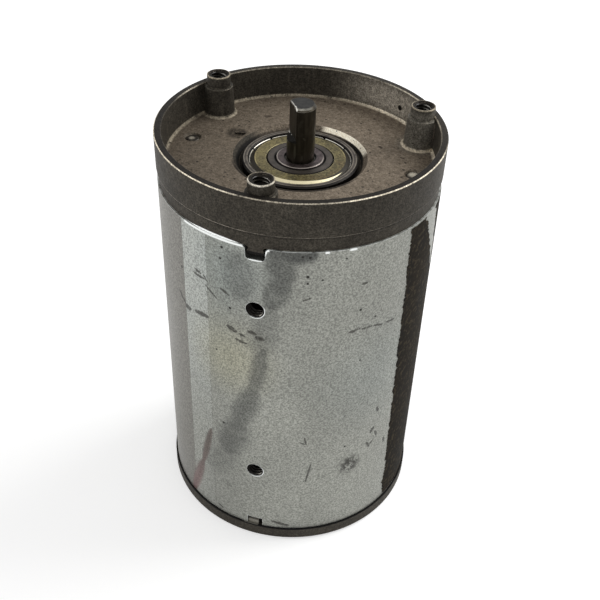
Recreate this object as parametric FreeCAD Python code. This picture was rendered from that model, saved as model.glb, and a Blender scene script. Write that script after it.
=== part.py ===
import FreeCAD, Part
import math
import os

# Permanent-magnet brushed dc motor, standing on its rear end bell with the output shaft up.
# Millimetres. +Z is the shaft axis, z = 0 is the rear face that the motor stands on, and -Y
# faces the locating notches and the tapped holes of the yoke can.

Vector = FreeCAD.Vector
AXIS = Vector(0, 0, 1)
ORIGIN = Vector(0, 0, 0)

# Yoke can: a plated steel tube that closes the magnetic circuit
can_outer_r = 48.75
can_wall = 4.0
can_length = 133.0
notch_depth = 4.6
notch_mouth = 8.4
notch_bottom = 5.2
notch_corner = 0.6
notch_mouth_round = 0.8
foot_notch_depth = 3.8
foot_notch_width = 6.1
side_hole_r = 3.2
side_hole_inset_top = 24.5
side_hole_inset_bottom = 31.5

# Named clearances
spigot_fit = 0.03
tab_gap_side = 0.35
tab_gap_end = 1.6
foot_tab_gap_side = 0.75
foot_tab_gap_end = 2.2
foot_tab_shift = -0.5
running_gap = 0.3
slide_gap = 0.15
bolt_gap = 0.05
face_gap = 0.05
air_gap = 0.7

# Broken edges and lead-in chamfers
edge_break = 0.3
spigot_lead_in = 0.6
race_edge = 0.2
bore_edge = 0.35
ring_edge = 0.5

# Front end bell: a cast cup with a bearing hub and three threaded bosses
rim_overhang = 0.25
rim_wall = 2.5
bell_band = 5.0
bell_band_inset = 0.55
bell_height = 17.5
cup_depth = 11.4
cup_draft = 0.4
cup_fillet = 0.8
fillet_middle = 0.3
rim_taper = 0.1
cup_floor_thickness = 5.0
spigot_depth = 6.0
spigot_wall = 2.4
bearing_recess_width = 3.0
bearing_recess_depth = 2.5
bearing_recess_land = 1.0
bearing_below_floor = 0.7
hub_wall = 4.5
hub_lip = 1.4
hub_lip_width = 2.0
hub_root = 2.0
boss_count = 3
boss_inset = 3.6
boss_tube_r = 4.2
boss_body_r = 5.1
boss_draft = 0.5
boss_foot_fillet = 0.9
boss_stand_out = 3.4
boss_shoulder_drop = 0.7
thread_major_r = 3.2
thread_mouth_r = 3.55
boss_hole_depth = 13.0
bolt_pad_wall = 2.5
bolt_mark_width = 0.6
bolt_mark_depth = 0.5
cast_hollow_depth = 0.7
cast_hollow_from_recess = 1.2
cast_hollow_width = 3.6
cast_hollow_angles = (171.0, 158.0, 163.0)
ejector_mark_r = 2.9
ejector_mark_depth = 0.12
ejector_marks = ((30.2, 149.4), (32.6, 176.9))
wall_pit_r = 1.3
wall_pit_angle = 54.9
wall_pit_height = 4.5
wall_pit_set_back = 1.0

# Rear end bell
lip_height = 5.5
lip_overhang = 0.7
foot_recess = 1.0
foot_recess_r = 30.0
rear_spigot_depth = 8.0
rear_spigot_wall = 3.0
rear_hub_root = 1.5
rear_hub_stand_out = 0.5
counterbore_wall = 1.8
counterbore_pad_drop = 1.0
rear_pocket_floor = 3.5

# Ball bearings: bore radius, outer radius, width, ball radius, how far the ring beside a ball
# reaches past it, and ball count
shield_thickness = 0.35
shield_field_drop = 0.1
shield_slope_drop = 0.9
shield_shoulder = 1.9
shield_slope_width = 1.2
shield_bend = 0.2
ring_land = 0.35
outer_race_relief = 0.1
ball_play = 0.2
cage_height = 3.6
cage_thickness = 1.3
cage_play = 0.12
cage_back = 0.5

front_bearing = {"bore": 8.5, "outer": 20.0, "width": 12.0, "ball": 3.37, "race_depth": 0.42, "count": 8}
rear_bearing = {"bore": 6.0, "outer": 16.0, "width": 10.0, "ball": 2.98, "race_depth": 0.78, "count": 7}

# Magnets and armature
magnet_thickness = 8.0
magnet_arc = 70.0
magnet_count = 4
magnet_inset_top = 23.5
magnet_inset_bottom = 51.5
core_inset = 2.0
slot_count = 20
slot_opening = 2.0
slot_width_outer = 5.6
slot_width_inner = 3.0
slot_top_depth = 1.4
slot_depth = 13.0
insulator_thickness = 1.0
overhang_front = 12.0
overhang_rear = 10.0
overhang_inset = 2.2
core_bore_r = 10.0
slot_liner = 0.35
overhang_round = 3.0

# Shaft
shaft_output_r = 4.7625
shaft_stand_out = 8.0
shaft_chamfer = 1.1
shaft_chamfer_width = 0.66
hub_seat_step = 2.0
tail_chamfer = 0.5
flat_from_axis = 3.0
flat_start = 4.7
flat_runout = 1.2
flat_turn = 214.5
journal_stand_out = 0.3
journal_chamfer = 0.45
relief_width = 0.7
relief_depth = 0.5
collar_r = 11.0
shaft_tail_gap = 1.5

# Commutator and brush gear
commutator_r = 17.0
bar_thickness = 3.0
commutator_length = 17.0
commutator_below_overhang = 4.0
bar_gap = 0.7
riser_height = 3.0
riser_stand_out = 2.5
riser_root = 0.5
riser_side_angle = 2.0
hub_end_margin = 1.0
brush_count = 4
brush_width = 6.5
brush_height = 10.0
brush_spring_room = 9.0
brush_travel = 6.0
holder_wall = 0.8
holder_from_commutator = 2.0
holder_from_can = 3.5
holder_slot = 3.0
plate_thickness = 2.0
plate_inner_gap = 4.0
plate_can_gap = 0.6
plate_below_commutator = 1.0
post_r = 3.5
post_from_can = 6.7
post_angle = 20.0
screw_r = 1.5
screw_head_r = 2.9
screw_head_height = 2.0
screw_depth = 8.0
screw_end_gap = 0.5
spring_wire_r = 0.35
spring_coil_r = 2.4
spring_turns = 6
spring_end_gap = 0.05
lead_r = 0.8
lead_rise = 3.2
lead_bend_r = 2.2
lead_shift = 8.6
lead_from_brush_back = 2.2
rivet_r = 1.2
rivet_head_r = 2.2
rivet_head_height = 1.4

# Through-bolts, washer, grommet and the remnant of the label
bolt_r = 2.5
bolt_from_core = 0.8
bolt_count = 2
bolt_end_drop = 0.3
bolt_end_chamfer = 0.4
bolt_head_width = 1.9
bolt_head_height = 3.6
bolt_washer_width = 2.3
bolt_washer_gap = 0.4
bolt_washer_thickness = 1.0
counterbore_depth = 5.2
wave_thickness = 0.5
wave_count = 3
wave_steps = 8
wave_width = 3.2
wave_free_turns = 4
wave_end_gap = 0.02
grommet_width = 11.0
grommet_height = 9.0
grommet_lip = 1.6
grommet_flange = 0.6
lead_hole_r = 1.3
lead_hole_spacing = 4.4
label_thickness = 0.15
label_edge_angle = -24.2
label_far_angle = 66.0
label_end_gap = 0.6

# Levels along the axis
can_bottom_z = lip_height
can_top_z = can_bottom_z + can_length
band_top_z = can_top_z + bell_band
rim_z = can_top_z + bell_height
cup_floor_z = rim_z - cup_depth
front_bearing_top_z = cup_floor_z - bearing_below_floor
front_bearing_bottom_z = front_bearing_top_z - front_bearing["width"]
recess_z = cup_floor_z - bearing_recess_depth
under_floor_z = cup_floor_z - cup_floor_thickness
hub_bottom_z = front_bearing_bottom_z - hub_lip
boss_top_z = rim_z + boss_stand_out
boss_shoulder_z = rim_z - boss_shoulder_drop
shaft_top_z = rim_z + shaft_stand_out
journal_top_z = front_bearing_top_z + journal_stand_out
flat_bottom_z = rim_z - flat_start
washer_room = wave_thickness * wave_free_turns
rear_bearing_bottom_z = rear_pocket_floor + washer_room
rear_bearing_top_z = rear_bearing_bottom_z + rear_bearing["width"]
shaft_tail_z = rear_pocket_floor + shaft_tail_gap
magnet_top_z = can_top_z - magnet_inset_top
magnet_bottom_z = can_bottom_z + magnet_inset_bottom
core_top_z = magnet_top_z - core_inset
core_bottom_z = magnet_bottom_z + core_inset
insulator_top_z = core_top_z + insulator_thickness
insulator_bottom_z = core_bottom_z - insulator_thickness
overhang_top_z = insulator_top_z + overhang_front
overhang_bottom_z = insulator_bottom_z - overhang_rear
commutator_top_z = overhang_bottom_z - commutator_below_overhang
commutator_bottom_z = commutator_top_z - commutator_length
brush_plate_top_z = commutator_bottom_z - plate_below_commutator
brush_plate_bottom_z = brush_plate_top_z - plate_thickness
brush_bottom_z = brush_plate_top_z + holder_wall + slide_gap
brush_top_z = brush_bottom_z + brush_height
holder_top_z = brush_top_z + slide_gap + holder_wall
brush_mid_z = (brush_bottom_z + brush_top_z) / 2

# The balls run midway between bore and outer radius, and the rings close in on them
for size in (front_bearing, rear_bearing):
    size["pitch"] = (size["bore"] + size["outer"]) / 2
    size["shoulder"] = size["pitch"] - size["ball"] + size["race_depth"]
    size["land"] = size["pitch"] + size["ball"] - size["race_depth"] + outer_race_relief
    size["groove"] = size["land"] + ring_land

# Radii and angles shared between pieces
can_inner_r = can_outer_r - can_wall
rim_r = can_outer_r + rim_overhang
cup_r_top = rim_r - rim_wall
cup_r_floor = cup_r_top - cup_draft
band_r = can_outer_r - bell_band_inset
spigot_r = can_inner_r - spigot_fit
boss_circle_r = cup_r_top - boss_inset
magnet_outer_r = can_inner_r - face_gap
magnet_inner_r = magnet_outer_r - magnet_thickness
core_r = magnet_inner_r - air_gap
slot_outer_r = core_r - slot_top_depth
slot_inner_r = core_r - slot_depth
overhang_outer_r = core_r - overhang_inset
overhang_inner_r = slot_inner_r - overhang_inset
bolt_circle_r = core_r + bolt_from_core + bolt_r
bolt_pad_r = bolt_r + bolt_pad_wall
bolt_mark_r = bolt_r + bolt_mark_width
bolt_head_r = bolt_r + bolt_head_width
bolt_washer_r = bolt_r + bolt_washer_width
counterbore_r = bolt_washer_r + bolt_washer_gap
commutator_hub_r = commutator_r - bar_thickness
riser_r = commutator_r + riser_stand_out
flat_half_angle = math.degrees(math.acos(flat_from_axis / shaft_output_r))
hub_seat_r = rear_bearing["bore"] + hub_seat_step
boss_angles = [-90.0 + 360.0 / boss_count * step for step in range(boss_count)]
bolt_angles = [360.0 / bolt_count * step for step in range(bolt_count)]
pole_angles = [45.0 + 360.0 / magnet_count * step for step in range(magnet_count)]
brush_angles = [45.0 + 360.0 / brush_count * step for step in range(brush_count)]
post_angles = [post_angle, 180.0 - post_angle, 180.0 + post_angle, -post_angle]
post_circle_r = can_inner_r - post_from_can
brush_face_r = commutator_r + running_gap
holder_inner_r = commutator_r + holder_from_commutator
holder_outer_r = can_inner_r - holder_from_can
brush_back_r = holder_outer_r - holder_wall - brush_spring_room
lead_leave_r = brush_back_r - lead_from_brush_back
plate_inner_r = commutator_r + plate_inner_gap
past = 1.0
wedge_steps = 4


def cylinder(radius, bottom, top, x=0.0, y=0.0):
    """An upright cylinder between two levels."""
    return Part.makeCylinder(radius, top - bottom, Vector(x, y, bottom), AXIS)


def ring(outer, inner, bottom, top):
    """An upright tube between two levels."""
    return cylinder(outer, bottom, top).cut(cylinder(inner, bottom - past, top + past))


def cone(bottom_r, top_r, bottom, top, x=0.0, y=0.0):
    """An upright cone frustum between two levels."""
    return Part.makeCone(bottom_r, top_r, top - bottom, Vector(x, y, bottom), AXIS)


def block(x_from, x_to, y_from, y_to, bottom, top):
    """A box given by its limits."""
    return Part.makeBox(x_to - x_from, y_to - y_from, top - bottom, Vector(x_from, y_from, bottom))


def turned(profile, sweep=360.0):
    """A solid of revolution about Z from (radius, z) points joined by straight lines."""
    points = [Vector(radius, 0, level) for radius, level in profile]
    wire = Part.makePolygon(points + points[:1])
    return Part.Face(wire).revolve(ORIGIN, AXIS, sweep)


def rotated(shape, angle):
    """A copy turned about the shaft axis."""
    copy = shape.copy()
    copy.rotate(ORIGIN, AXIS, angle)
    return copy


def around(shape, angles):
    """Copies of one shape at several angles."""
    return [rotated(shape, angle) for angle in angles]


def even_angles(count, start=0.0):
    """Angles of a full circle of equal steps."""
    return [start + 360.0 / count * step for step in range(count)]


def sector(outer, inner, bottom, top, from_angle, to_angle):
    """A piece of a tube between two angles."""
    tube = ring(outer, inner, bottom, top)
    reach = outer * 2
    corners = [Vector(0, 0, bottom - past)]
    for step in range(wedge_steps + 1):
        angle = from_angle + (to_angle - from_angle) * step / wedge_steps
        x, y = place(reach, angle)
        corners.append(Vector(x, y, bottom - past))
    outline = Part.Face(Part.makePolygon(corners + corners[:1]))
    return tube.common(outline.extrude(Vector(0, 0, top - bottom + past * 2)))


def side_prism(points, y_from, y_to):
    """A prism along Y with its outline given as (x, z) points."""
    corners = [Vector(x, y_from, z) for x, z in points]
    face = Part.Face(Part.makePolygon(corners + corners[:1]))
    return face.extrude(Vector(0, y_to - y_from, 0))


def place(radius, angle):
    """The x and y of a point at a radius and an angle in degrees."""
    turn = math.radians(angle)
    return radius * math.cos(turn), radius * math.sin(turn)


def save(name, shapes):
    """Write one node: a single solid, or a compound of separate solids."""
    solids = []
    for shape in shapes if isinstance(shapes, list) else [shapes]:
        solids.extend(shape.Solids)
    node = solids[0] if len(solids) == 1 else Part.makeCompound(solids)
    node.exportStep("parts/" + name + ".step")
    state = "valid" if node.isValid() else "INVALID"
    print(name, len(solids), "solids", round(node.Volume, 1), "mm3", state)


def yoke_can():
    """Steel tube with locating notches in both edges, two tapped holes and the lead slot."""
    tube = ring(can_outer_r, can_inner_r, can_bottom_z, can_top_z)
    notch = notch_prism(notch_mouth / 2, notch_bottom / 2, notch_depth)
    half_foot = foot_notch_width / 2
    foot_notch = block(-half_foot, half_foot, -can_outer_r - past, -can_inner_r + can_wall,
                       can_bottom_z - past, can_bottom_z + foot_notch_depth)
    tube = tube.cut(notch).cut(foot_notch).cut(grommet_slot(can_bottom_z - past))
    for level in (can_top_z - side_hole_inset_top, can_bottom_z + side_hole_inset_bottom):
        mouth = Vector(0, -can_outer_r - past, level)
        drill = Part.makeCylinder(side_hole_r, can_wall * 3, mouth, Vector(0, 1, 0))
        tube = tube.cut(drill)
    return tube


def notch_prism(half_mouth, half_bottom, depth):
    """The upper notch's outline below the can's top edge, as a prism through the can's wall."""
    outline = [
        (half_bottom, can_top_z - depth),
        (half_bottom + notch_corner, can_top_z - depth + notch_corner),
        (half_mouth - notch_mouth_round, can_top_z - notch_mouth_round),
        (half_mouth, can_top_z),
        (half_mouth, can_top_z + past),
    ]
    mirrored = [(-x, z) for x, z in reversed(outline)]
    return side_prism(outline + mirrored, -can_outer_r - past, -can_inner_r + can_wall)


def grommet_slot(bottom):
    """The slot in the can's lower edge that the lead grommet fills, from a given level up."""
    half = grommet_width / 2
    return block(-half, half, can_inner_r - can_wall, can_outer_r + past * 2,
                 bottom, can_bottom_z + grommet_height)


def lead_grommet():
    """Rubber grommet in the can's slot, with an outer flange and two lead holes."""
    top = can_bottom_z + grommet_height
    core = grommet_slot(can_bottom_z).common(ring(can_outer_r, can_inner_r, can_bottom_z, top))
    half_lip = grommet_width / 2 + grommet_lip
    flange = block(-half_lip, half_lip, can_inner_r - can_wall, can_outer_r + past * 2,
                   can_bottom_z, top + grommet_lip)
    outside = ring(can_outer_r + grommet_flange, can_outer_r, can_bottom_z, top + grommet_lip)
    body = core.fuse(flange.common(outside)).removeSplitter()
    for side in (-1, 1):
        middle = can_bottom_z + grommet_height / 2
        start = Vector(side * lead_hole_spacing / 2, can_inner_r - can_wall, middle)
        body = body.cut(Part.makeCylinder(lead_hole_r, can_wall * 4, start, Vector(0, 1, 0)))
    return body


def boss(hole_bottom):
    """One threaded boss of the front bell at the origin: drafted body, upper tube, foot fillet."""
    foot_r = boss_body_r + boss_draft
    body = turned([
        (0, cup_floor_z - past),
        (foot_r + boss_foot_fillet, cup_floor_z - past),
        (foot_r + boss_foot_fillet, cup_floor_z),
        (foot_r + boss_foot_fillet * fillet_middle, cup_floor_z + boss_foot_fillet * fillet_middle),
        (foot_r, cup_floor_z + boss_foot_fillet),
        (boss_body_r, boss_shoulder_z - edge_break),
        (boss_body_r - edge_break, boss_shoulder_z),
        (boss_tube_r, boss_shoulder_z),
        (boss_tube_r, boss_top_z - edge_break),
        (boss_tube_r - edge_break, boss_top_z),
        (0, boss_top_z),
    ])
    bore = cylinder(thread_major_r, hole_bottom, boss_top_z + past)
    mouth = cone(thread_major_r, thread_mouth_r + past, boss_top_z - (thread_mouth_r - thread_major_r),
                 boss_top_z + past)
    return body, bore.fuse(mouth)


def front_end_bell():
    """Cast front cup with hub, spigot, bosses, locating tab and bolt holes."""
    bore = front_bearing["outer"]
    hub_r = bore + hub_wall
    shell = turned([
        (bore, recess_z - past),
        (bore + bearing_recess_land, recess_z),
        (bore + bearing_recess_width, cup_floor_z),
        (cup_r_floor - cup_fillet, cup_floor_z),
        (cup_r_floor - cup_fillet * fillet_middle, cup_floor_z + cup_fillet * fillet_middle),
        (cup_r_floor, cup_floor_z + cup_fillet),
        (cup_r_top, rim_z - edge_break),
        (cup_r_top + edge_break, rim_z),
        (rim_r - edge_break, rim_z),
        (rim_r, rim_z - edge_break),
        (rim_r - rim_taper, band_top_z + edge_break),
        (rim_r - rim_taper - edge_break, band_top_z),
        (band_r, band_top_z),
        (band_r, can_top_z),
        (spigot_r, can_top_z),
        (spigot_r, can_top_z - spigot_depth + spigot_lead_in),
        (spigot_r - spigot_lead_in, can_top_z - spigot_depth),
        (spigot_r - spigot_wall, can_top_z - spigot_depth),
        (spigot_r - spigot_wall, under_floor_z),
        (hub_r + hub_root, under_floor_z),
        (hub_r, under_floor_z - hub_root),
        (hub_r, hub_bottom_z),
        (bore - hub_lip_width, hub_bottom_z),
        (bore - hub_lip_width, front_bearing_bottom_z),
        (bore, front_bearing_bottom_z),
    ])
    body, hollow = boss(boss_top_z - boss_hole_depth)
    for angle in boss_angles:
        x, y = place(boss_circle_r, angle)
        post = body.copy()
        post.translate(Vector(x, y, 0))
        shell = shell.fuse(post.common(cylinder(rim_r - rim_wall / 2, cup_floor_z - past, boss_top_z)))
    for angle in bolt_angles:
        x, y = place(bolt_circle_r, angle)
        pad = cylinder(bolt_pad_r, can_top_z - spigot_depth, under_floor_z + past, x, y)
        inside = cylinder(spigot_r - spigot_wall / 2, hub_bottom_z, under_floor_z + past)
        shell = shell.fuse(pad.common(inside))
    for angle in boss_angles:
        x, y = place(boss_circle_r, angle)
        drill = hollow.copy()
        drill.translate(Vector(x, y, 0))
        shell = shell.cut(drill)
    for angle in bolt_angles:
        x, y = place(bolt_circle_r, angle)
        hole_r = bolt_r + bolt_gap
        shell = shell.cut(cylinder(hole_r, can_top_z - spigot_depth - past, cup_floor_z + past, x, y))
        shell = shell.cut(cone(hole_r, bolt_mark_r, cup_floor_z - bolt_mark_depth, cup_floor_z, x, y))
    shell = shell.fuse(front_tab())
    return shell.cut(casting_marks()).removeSplitter()


def front_tab():
    """The bell's tab that drops into the can's upper notch."""
    depth = notch_depth - tab_gap_end
    half_top = notch_mouth / 2 - notch_mouth_round - tab_gap_side
    half_low = notch_bottom / 2 - tab_gap_side / 2
    tab = notch_prism(half_top, half_low, depth)
    between = ring(band_r, spigot_r - spigot_wall / 2, can_top_z - depth, can_top_z + past)
    return tab.common(between)


def casting_marks():
    """The cast hollow beside the bearing recess, ejector discs and the pit in the cup's wall."""
    near = front_bearing["outer"] + bearing_recess_width + cast_hollow_from_recess
    radii = (near, near, near + cast_hollow_width)
    corners = []
    for radius, angle in zip(radii, cast_hollow_angles):
        x, y = place(radius, angle)
        corners.append(Vector(x, y, cup_floor_z - cast_hollow_depth))
    outline = Part.Face(Part.makePolygon(corners + corners[:1]))
    marks = [outline.extrude(Vector(0, 0, cast_hollow_depth + past))]
    for radius, angle in ejector_marks:
        x, y = place(radius, angle)
        marks.append(cylinder(ejector_mark_r, cup_floor_z - ejector_mark_depth, cup_floor_z + past, x, y))
    x, y = place(cup_r_floor + wall_pit_set_back, wall_pit_angle)
    marks.append(Part.makeSphere(wall_pit_r, Vector(x, y, cup_floor_z + wall_pit_height)))
    return Part.makeCompound(marks)


def rear_end_bell():
    """Cast rear cover: lip, spigot, blind bearing hub, brush plate posts and bolt counterbores."""
    bore = rear_bearing["outer"]
    hub_r = bore + hub_wall
    hub_top_z = rear_bearing_top_z + rear_hub_stand_out
    lip_r = can_outer_r + lip_overhang
    spigot_top_z = lip_height + rear_spigot_depth
    shell = turned([
        (0, foot_recess),
        (foot_recess_r - foot_recess, foot_recess),
        (foot_recess_r, 0),
        (lip_r - spigot_lead_in, 0),
        (lip_r, spigot_lead_in),
        (lip_r, lip_height - edge_break),
        (lip_r - edge_break, lip_height),
        (spigot_r, lip_height),
        (spigot_r, spigot_top_z - spigot_lead_in),
        (spigot_r - spigot_lead_in, spigot_top_z),
        (spigot_r - rear_spigot_wall, spigot_top_z),
        (spigot_r - rear_spigot_wall, lip_height),
        (hub_r + rear_hub_root, lip_height),
        (hub_r, lip_height + rear_hub_root),
        (hub_r, hub_top_z),
        (bore + rear_hub_stand_out, hub_top_z),
        (bore, rear_bearing_top_z),
        (bore, rear_pocket_floor),
        (0, rear_pocket_floor),
    ])
    for angle in post_angles:
        x, y = place(post_circle_r, angle)
        shell = shell.fuse(cylinder(post_r, lip_height - past, brush_plate_bottom_z, x, y))
    for angle in bolt_angles:
        x, y = place(bolt_circle_r, angle)
        pad_top = spigot_top_z - counterbore_pad_drop
        pad = cylinder(counterbore_r + counterbore_wall, lip_height - past, pad_top, x, y)
        shell = shell.fuse(pad.common(cylinder(spigot_r - spigot_lead_in, lip_height - past, pad_top)))
    half_tab = foot_notch_width / 2 - foot_tab_gap_side
    tab_top = lip_height + foot_notch_depth - foot_tab_gap_end
    tab = block(foot_tab_shift - half_tab, foot_tab_shift + half_tab, -band_r,
                -spigot_r + rear_spigot_wall / 2, lip_height - past, tab_top)
    shell = shell.fuse(tab.common(cylinder(band_r, 0, can_top_z)))
    room = grommet_width / 2 + running_gap
    shell = shell.cut(block(-room, room, spigot_r - rear_spigot_wall - past, can_outer_r + past,
                            lip_height, spigot_top_z + past))
    for angle in bolt_angles:
        x, y = place(bolt_circle_r, angle)
        shell = shell.cut(cylinder(bolt_r + bolt_gap, -past, lip_height * 4, x, y))
        shell = shell.cut(cylinder(counterbore_r, -past, counterbore_depth, x, y))
    for angle in post_angles:
        x, y = place(post_circle_r, angle)
        shell = shell.cut(cylinder(screw_r + bolt_gap, brush_plate_bottom_z - screw_depth,
                                   brush_plate_bottom_z + past, x, y))
    return shell.removeSplitter()


def bearing_outer_ring(size, bottom):
    """Outer ring of a ball bearing, with its raceway and a shield groove at each end."""
    top = bottom + size["width"]
    inner = size["groove"]
    land = size["land"]
    groove = shield_slope_drop + shield_field_drop
    body = turned([
        (inner, bottom + race_edge),
        (inner + race_edge, bottom),
        (size["outer"] - ring_edge, bottom),
        (size["outer"], bottom + ring_edge),
        (size["outer"], top - ring_edge),
        (size["outer"] - ring_edge, top),
        (inner + race_edge, top),
        (inner, top - race_edge),
        (inner, top - groove),
        (land, top - groove - shield_field_drop),
        (land, bottom + groove + shield_field_drop),
        (inner, bottom + groove),
    ])
    return body.cut(raceway(size, bottom))


def raceway(size, bottom):
    """The ring of space that the balls run in."""
    middle = Vector(0, 0, bottom + size["width"] / 2)
    return Part.makeTorus(size["pitch"], size["ball"] + ball_play, middle, AXIS)


def bearing_inner_ring(size, bottom):
    """Inner ring of a ball bearing, seated on the shaft."""
    top = bottom + size["width"]
    outer = size["shoulder"]
    body = turned([
        (size["bore"], bottom + bore_edge),
        (size["bore"] + bore_edge, bottom),
        (outer - race_edge, bottom),
        (outer, bottom + race_edge),
        (outer, top - race_edge),
        (outer - race_edge, top),
        (size["bore"] + bore_edge, top),
        (size["bore"], top - bore_edge),
    ])
    return body.cut(raceway(size, bottom))


def bearing_shield(size, bottom, upper):
    """Pressed steel shield: flat field, sloping shoulder and a rim seated in the outer ring."""
    field = size["shoulder"] + running_gap
    rim = size["groove"] - face_gap
    shoulder = rim - shield_shoulder
    face = shield_field_drop
    low = face + shield_slope_drop
    profile = [
        (field, face),
        (shoulder, face),
        (shoulder + shield_slope_width, low - shield_thickness),
        (rim, low - shield_thickness),
        (rim, low),
        (shoulder + shield_slope_width - shield_bend, low),
        (shoulder - shield_bend, face + shield_thickness),
        (field, face + shield_thickness),
    ]
    if upper:
        level = bottom + size["width"]
        return turned([(radius, level - depth) for radius, depth in profile])
    return turned([(radius, bottom + depth) for radius, depth in profile])


def bearing_balls(size, bottom):
    """The bearing's balls on their pitch circle."""
    ball = Part.makeSphere(size["ball"], Vector(size["pitch"], 0, bottom + size["width"] / 2))
    return around(ball, even_angles(size["count"]))


def bearing_cage(size, bottom):
    """Ring cage with a pocket round each ball and an unbroken back above the pockets."""
    middle = bottom + size["width"] / 2
    top = middle + size["ball"] + cage_play + cage_back
    band = ring(size["pitch"] + cage_thickness / 2, size["pitch"] - cage_thickness / 2,
                middle - cage_height / 2, top)
    pocket = Part.makeSphere(size["ball"] + cage_play, Vector(size["pitch"], 0, middle))
    return band.cut(Part.makeCompound(around(pocket, even_angles(size["count"]))))


def save_bearing(prefix, size, bottom):
    """Write the six nodes of one shielded ball bearing."""
    save(prefix + "_outer_ring", bearing_outer_ring(size, bottom))
    save(prefix + "_inner_ring", bearing_inner_ring(size, bottom))
    save(prefix + "_balls", bearing_balls(size, bottom))
    save(prefix + "_cage", bearing_cage(size, bottom))
    save(prefix + "_inner_shield", bearing_shield(size, bottom, prefix == "rear_bearing"))
    save(prefix + "_outer_shield", bearing_shield(size, bottom, prefix == "front_bearing"))


def wave_washer():
    """Three-wave spring washer that preloads the rear bearing's outer ring."""
    outer = rear_bearing["outer"] - running_gap
    inner = outer - wave_width
    swing = (washer_room - wave_thickness) / 2 - wave_end_gap
    middle = rear_pocket_floor + washer_room / 2
    sections = []
    for angle in even_angles(wave_count * wave_steps):
        level = middle + swing * math.sin(math.radians(angle * wave_count))
        corners = []
        for radius, side in ((inner, -1), (outer, -1), (outer, 1), (inner, 1)):
            x, y = place(radius, angle)
            corners.append(Vector(x, y, level + side * wave_thickness / 2))
        sections.append(corners)
    return solid_between(sections)


def solid_between(sections):
    """A closed loop of flat facets through four-cornered sections, as one solid."""
    faces = []
    total = len(sections)
    for step in range(total):
        here = sections[step]
        after = sections[(step + 1) % total]
        for corner in range(4):
            following = (corner + 1) % 4
            quad = [here[corner], here[following], after[following], after[corner]]
            faces.append(Part.Face(Part.makePolygon([quad[0], quad[1], quad[2], quad[0]])))
            faces.append(Part.Face(Part.makePolygon([quad[0], quad[2], quad[3], quad[0]])))
    shell = Part.makeShell(faces)
    shell.sewShape()
    return Part.Solid(shell)


def magnet(angle):
    """One ferrite arc magnet on the can's inner wall."""
    half = magnet_arc / 2
    return sector(magnet_outer_r, magnet_inner_r, magnet_bottom_z, magnet_top_z, angle - half, angle + half)


def armature_shaft():
    """Stepped steel shaft: rear journal, core seat, front journal and output end with a flat.

    It is turned in two arcs that meet at the flat's edges, so that no round face lies on both
    sides of the flat.
    """
    tail_r = rear_bearing["bore"]
    profile = [
        (0, shaft_tail_z),
        (tail_r - tail_chamfer, shaft_tail_z),
        (tail_r, shaft_tail_z + tail_chamfer),
        (tail_r, rear_bearing_top_z),
        (hub_seat_r, rear_bearing_top_z),
        (hub_seat_r, commutator_top_z),
        (core_bore_r, commutator_top_z),
        (core_bore_r, overhang_top_z),
        (collar_r, overhang_top_z),
        (collar_r, front_bearing_bottom_z),
        (front_bearing["bore"], front_bearing_bottom_z),
        (front_bearing["bore"], journal_top_z - journal_chamfer),
        (front_bearing["bore"] - journal_chamfer, journal_top_z),
        (shaft_output_r + relief_width, journal_top_z),
        (shaft_output_r + relief_width, journal_top_z - relief_depth),
        (shaft_output_r, journal_top_z - relief_depth),
        (shaft_output_r, shaft_top_z - shaft_chamfer),
        (shaft_output_r - shaft_chamfer_width, shaft_top_z),
        (0, shaft_top_z),
    ]
    under_flat = rotated(turned(profile, flat_half_angle * 2), flat_turn - flat_half_angle)
    rest = rotated(turned(profile, 360.0 - flat_half_angle * 2), flat_turn + flat_half_angle)
    shaft = under_flat.fuse(rest)
    runout_slope = flat_runout / (shaft_output_r - flat_from_axis)
    cutter = side_prism([
        (flat_from_axis, shaft_top_z + past),
        (flat_from_axis, flat_bottom_z + flat_runout),
        (shaft_output_r + past, flat_bottom_z - past * runout_slope),
        (shaft_output_r + past, shaft_top_z + past),
    ], -shaft_output_r * 2, shaft_output_r * 2)
    return shaft.cut(rotated(cutter, flat_turn))


def slot_profile(clearance, opening):
    """The corners of one armature slot in plan, pointing along +X."""
    half_outer = slot_width_outer / 2 - clearance
    half_inner = slot_width_inner / 2 - clearance
    half_opening = slot_opening / 2
    corners = [(slot_inner_r + clearance, -half_inner), (slot_outer_r - clearance, -half_outer)]
    if opening:
        corners.extend([
            (slot_outer_r, -half_opening),
            (core_r + past, -half_opening),
            (core_r + past, half_opening),
            (slot_outer_r, half_opening),
        ])
    corners.extend([(slot_outer_r - clearance, half_outer), (slot_inner_r + clearance, half_inner)])
    return corners


def slot_prism(clearance, opening, bottom, top):
    """The slot outline raised between two levels."""
    corners = [Vector(x, y, bottom) for x, y in slot_profile(clearance, opening)]
    return Part.Face(Part.makePolygon(corners + corners[:1])).extrude(Vector(0, 0, top - bottom))


def slotted_disc(bottom, top):
    """The core's lamination shape between two levels."""
    disc = ring(core_r, core_bore_r, bottom, top)
    prism = slot_prism(0.0, True, bottom - past, top + past)
    return disc.cut(Part.makeCompound(around(prism, even_angles(slot_count))))


def slot_windings():
    """The copper that fills each slot from one end insulator's face to the other."""
    bundle = slot_prism(slot_liner, False, insulator_bottom_z, insulator_top_z)
    return around(bundle, even_angles(slot_count))


def winding_overhang(near, far):
    """The turned ring of end windings between the insulator's face and its outer end."""
    shoulder = far - math.copysign(overhang_round, far - near)
    return turned([
        (overhang_inner_r, near),
        (overhang_outer_r, near),
        (overhang_outer_r, shoulder),
        (overhang_outer_r - overhang_round, far),
        (overhang_inner_r + overhang_round, far),
        (overhang_inner_r, shoulder),
    ])


def commutator_hub():
    """Moulded hub between the shaft and the copper bars, filling the gaps under them."""
    return ring(commutator_hub_r, hub_seat_r, commutator_bottom_z - hub_end_margin, commutator_top_z)


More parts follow.
